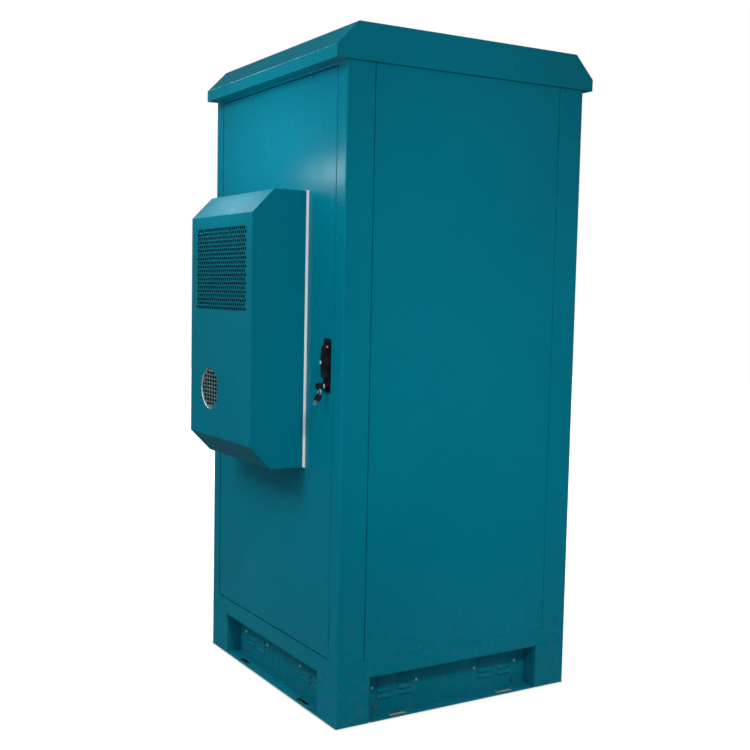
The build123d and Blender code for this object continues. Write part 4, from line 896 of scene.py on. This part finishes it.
class CABINET_OT_stage(bpy.types.Operator):
    """Floor, surroundings, soft lights and the camera"""

    bl_idname = "cabinet.stage"
    bl_label = "Stage"

    def execute(self, context):
        scene, size = context.scene, context.scene.cabinet_stage
        self.floor(size)
        self.sky(scene, size)
        for name, (place, target, extent, beam) in LAMPS.items():
            self.lamp(name, place, target, extent, getattr(size, f"{name}_power"), beam)
        self.camera(scene)
        scene.view_settings.view_transform = "Standard"
        return {"FINISHED"}

    def floor(self, size):
        """Pale disc that keeps the shadow.

        To the camera it glows: not at all under the plinth, in part beside it, fully from two
        metres out, so that it runs into the white surroundings. The distance is the larger of
        X and Y. Under the plinth its colour is painted shade.
        """
        rings = disc_rings([size.floor_radius, 0], [0, 0], 64)
        floor = np.stack([rings[..., 0], rings[..., 2], 0 * rings[..., 0]], -1)[::-1]
        vertices, faces = weld([floor])
        mesh = bpy.data.meshes.new("floor")
        mesh.from_pydata(vertices.tolist(), [], faces)
        disc = bpy.data.objects.new("floor", mesh)
        bpy.context.scene.collection.objects.link(disc)
        material, nodes, links, surface, place = shader(
            "floor", FLOOR_COLOR, roughness=0.9, specular=0.1
        )
        rays = nodes.new("ShaderNodeLightPath").outputs
        split = nodes.new("ShaderNodeSeparateXYZ")
        links.new(place, split.inputs["Vector"])
        x, y = (combine(nodes, links, "ABSOLUTE", split.outputs[axis]) for axis in "XY")
        distance = combine(nodes, links, "MAXIMUM", x, y)

        tone = remap(nodes, links, noise(nodes, links, place, 2.0, 3), 0.3, 0.7, 0, 1)
        ground = blend_color(nodes, links, tone, FLOOR_COLOR, FLOOR_TONE)
        ground = blend_color(nodes, links, rays["Is Glossy Ray"], ground, FLOOR_IN_GLOSS)
        # Painted shade: under the plinth the floor is coloured dark, lighter brown towards +X
        aside = remap(nodes, links, split.outputs["X"], *UNDER_PLINTH_SHADE_TURN, 0, 1)
        plinth_shade = blend_color(nodes, links, aside, UNDER_PLINTH_SHADE_DARK, UNDER_PLINTH_SHADE_LIGHT)
        under = remap(nodes, links, distance, *PLINTH_LINE, 1, 0)
        ground = blend_color(nodes, links, under, ground, plinth_shade)
        links.new(ground, surface.inputs["Base Color"])

        beside = remap(nodes, links, distance, *PLINTH_LINE, 0, GLOW_BESIDE)
        beyond = remap(nodes, links, distance, 0.5, WHITE_FROM, 0, GLOW_BEYOND)
        share = combine(nodes, links, "ADD", beside, beyond)
        share = combine(nodes, links, "MULTIPLY", rays["Is Camera Ray"], share)
        glow = nodes.new("ShaderNodeEmission")
        glow.inputs["Strength"].default_value = FLOOR_GLOW
        mix = nodes.new("ShaderNodeMixShader")
        links.new(share, mix.inputs[0])
        links.new(surface.outputs[0], mix.inputs[1])
        links.new(glow.outputs[0], mix.inputs[2])
        links.new(mix.outputs[0], nodes["Material Output"].inputs["Surface"])
        mesh.materials.append(material)

    def sky(self, scene, size):
        """Even surroundings: white to the camera, softer as light and in reflections."""
        world = bpy.data.worlds.new("surroundings")
        scene.world = world
        world.use_nodes = True
        nodes, links = world.node_tree.nodes, world.node_tree.links
        background = nodes["Background"]
        background.inputs["Color"].default_value = (1, 1, 1, 1)
        rays = nodes.new("ShaderNodeLightPath").outputs
        level = remap(nodes, links, rays["Is Glossy Ray"], 0, 1, size.sky, size.gloss)
        strength = nodes.new("ShaderNodeMix")
        strength.data_type = "FLOAT"
        strength.inputs[3].default_value = 1.0
        links.new(rays["Is Camera Ray"], strength.inputs["Factor"])
        links.new(level, strength.inputs[2])
        links.new(strength.outputs[0], background.inputs["Strength"])

    def lamp(self, name, place, target, extent, power, beam):
        """Soft light of some width and height at a place, turned to a target."""
        data = bpy.data.lights.new(name, "AREA")
        data.shape = "ELLIPSE"
        data.size, data.size_y = extent
        data.energy = power
        data.spread = math.radians(beam)
        lamp = bpy.data.objects.new(name, data)
        lamp.visible_camera = False
        bpy.context.scene.collection.objects.link(lamp)
        aim = Vector(target) - Vector(place)
        lamp.location = place
        lamp.rotation_mode = "QUATERNION"
        lamp.rotation_quaternion = aim.to_track_quat("-Z", "Y")

    def camera(self, scene):
        """Place and turn found from the photograph's corners; focal length in its pixels."""
        right = (0.485335, 0.874189, 0.015614)
        down = (0.078115, -0.025567, -0.996616)
        ahead = (-0.870832, 0.484913, -0.080696)
        place = (3.14463, -2.07853, 1.32359)
        focal, centre_x, centre_y, frame_size = 1076.0, 304.03, 376.08, 750
        data = bpy.data.cameras.new("camera")
        data.sensor_width = 36
        data.lens = focal / frame_size * data.sensor_width
        data.shift_x = (frame_size / 2 - centre_x) / frame_size
        data.shift_y = (centre_y - frame_size / 2) / frame_size
        data.clip_end = 200
        camera = bpy.data.objects.new("camera", data)
        scene.collection.objects.link(camera)
        axes = Matrix((right, down, ahead)).transposed() @ Matrix.Diagonal((1, -1, -1))
        camera.matrix_world = Matrix.Translation(place) @ axes.to_4x4()
        scene.camera = camera


# Panel and registration


class CABINET_PT_panel(bpy.types.Panel):
    """Lists the sizes and the steps of the cabinet's looks"""

    bl_label = "Cabinet"
    bl_idname = "CABINET_PT_panel"
    bl_space_type = "VIEW_3D"
    bl_region_type = "UI"
    bl_category = "Cabinet"

    def draw(self, context):
        for step, group in STEPS:
            self.layout.operator(step)
            if group:
                settings = getattr(context.scene, group)
                for name in settings.__annotations__:
                    self.layout.prop(settings, name)


GROUPS = {
    "cabinet_finish": CabinetFinish,
    "cabinet_cooler_cover": CoolerCoverSizes,
    "cabinet_vent_plates": VentPlateSizes,
    "cabinet_screws": ScrewSizes,
    "cabinet_finger_cap": FingerCapSizes,
    "cabinet_stage": StageSizes,
}
OPERATORS = (
    CABINET_OT_finishes,
    CABINET_OT_cooler_cover,
    CABINET_OT_vent_plates,
    CABINET_OT_finger_cap,
    CABINET_OT_stage,
)
STEPS = (
    ("cabinet.finishes", "cabinet_finish"),
    ("cabinet.cooler_cover", "cabinet_cooler_cover"),
    ("cabinet.vent_plates", "cabinet_vent_plates"),
    ("cabinet.finger_cap", "cabinet_finger_cap"),
    ("cabinet.stage", "cabinet_stage"),
)


def register():
    for name, group in GROUPS.items():
        bpy.utils.register_class(group)
        setattr(bpy.types.Scene, name, PointerProperty(type=group))
    for operator in OPERATORS:
        bpy.utils.register_class(operator)
    bpy.utils.register_class(CABINET_PT_panel)


def unregister():
    bpy.utils.unregister_class(CABINET_PT_panel)
    for operator in reversed(OPERATORS):
        bpy.utils.unregister_class(operator)
    for name, group in reversed(GROUPS.items()):
        delattr(bpy.types.Scene, name)
        bpy.utils.unregister_class(group)


def main():
    register()
    for step, _ in STEPS:
        space, name = step.split(".")
        getattr(getattr(bpy.ops, space), name)()


if __name__ == "__main__":
    main()
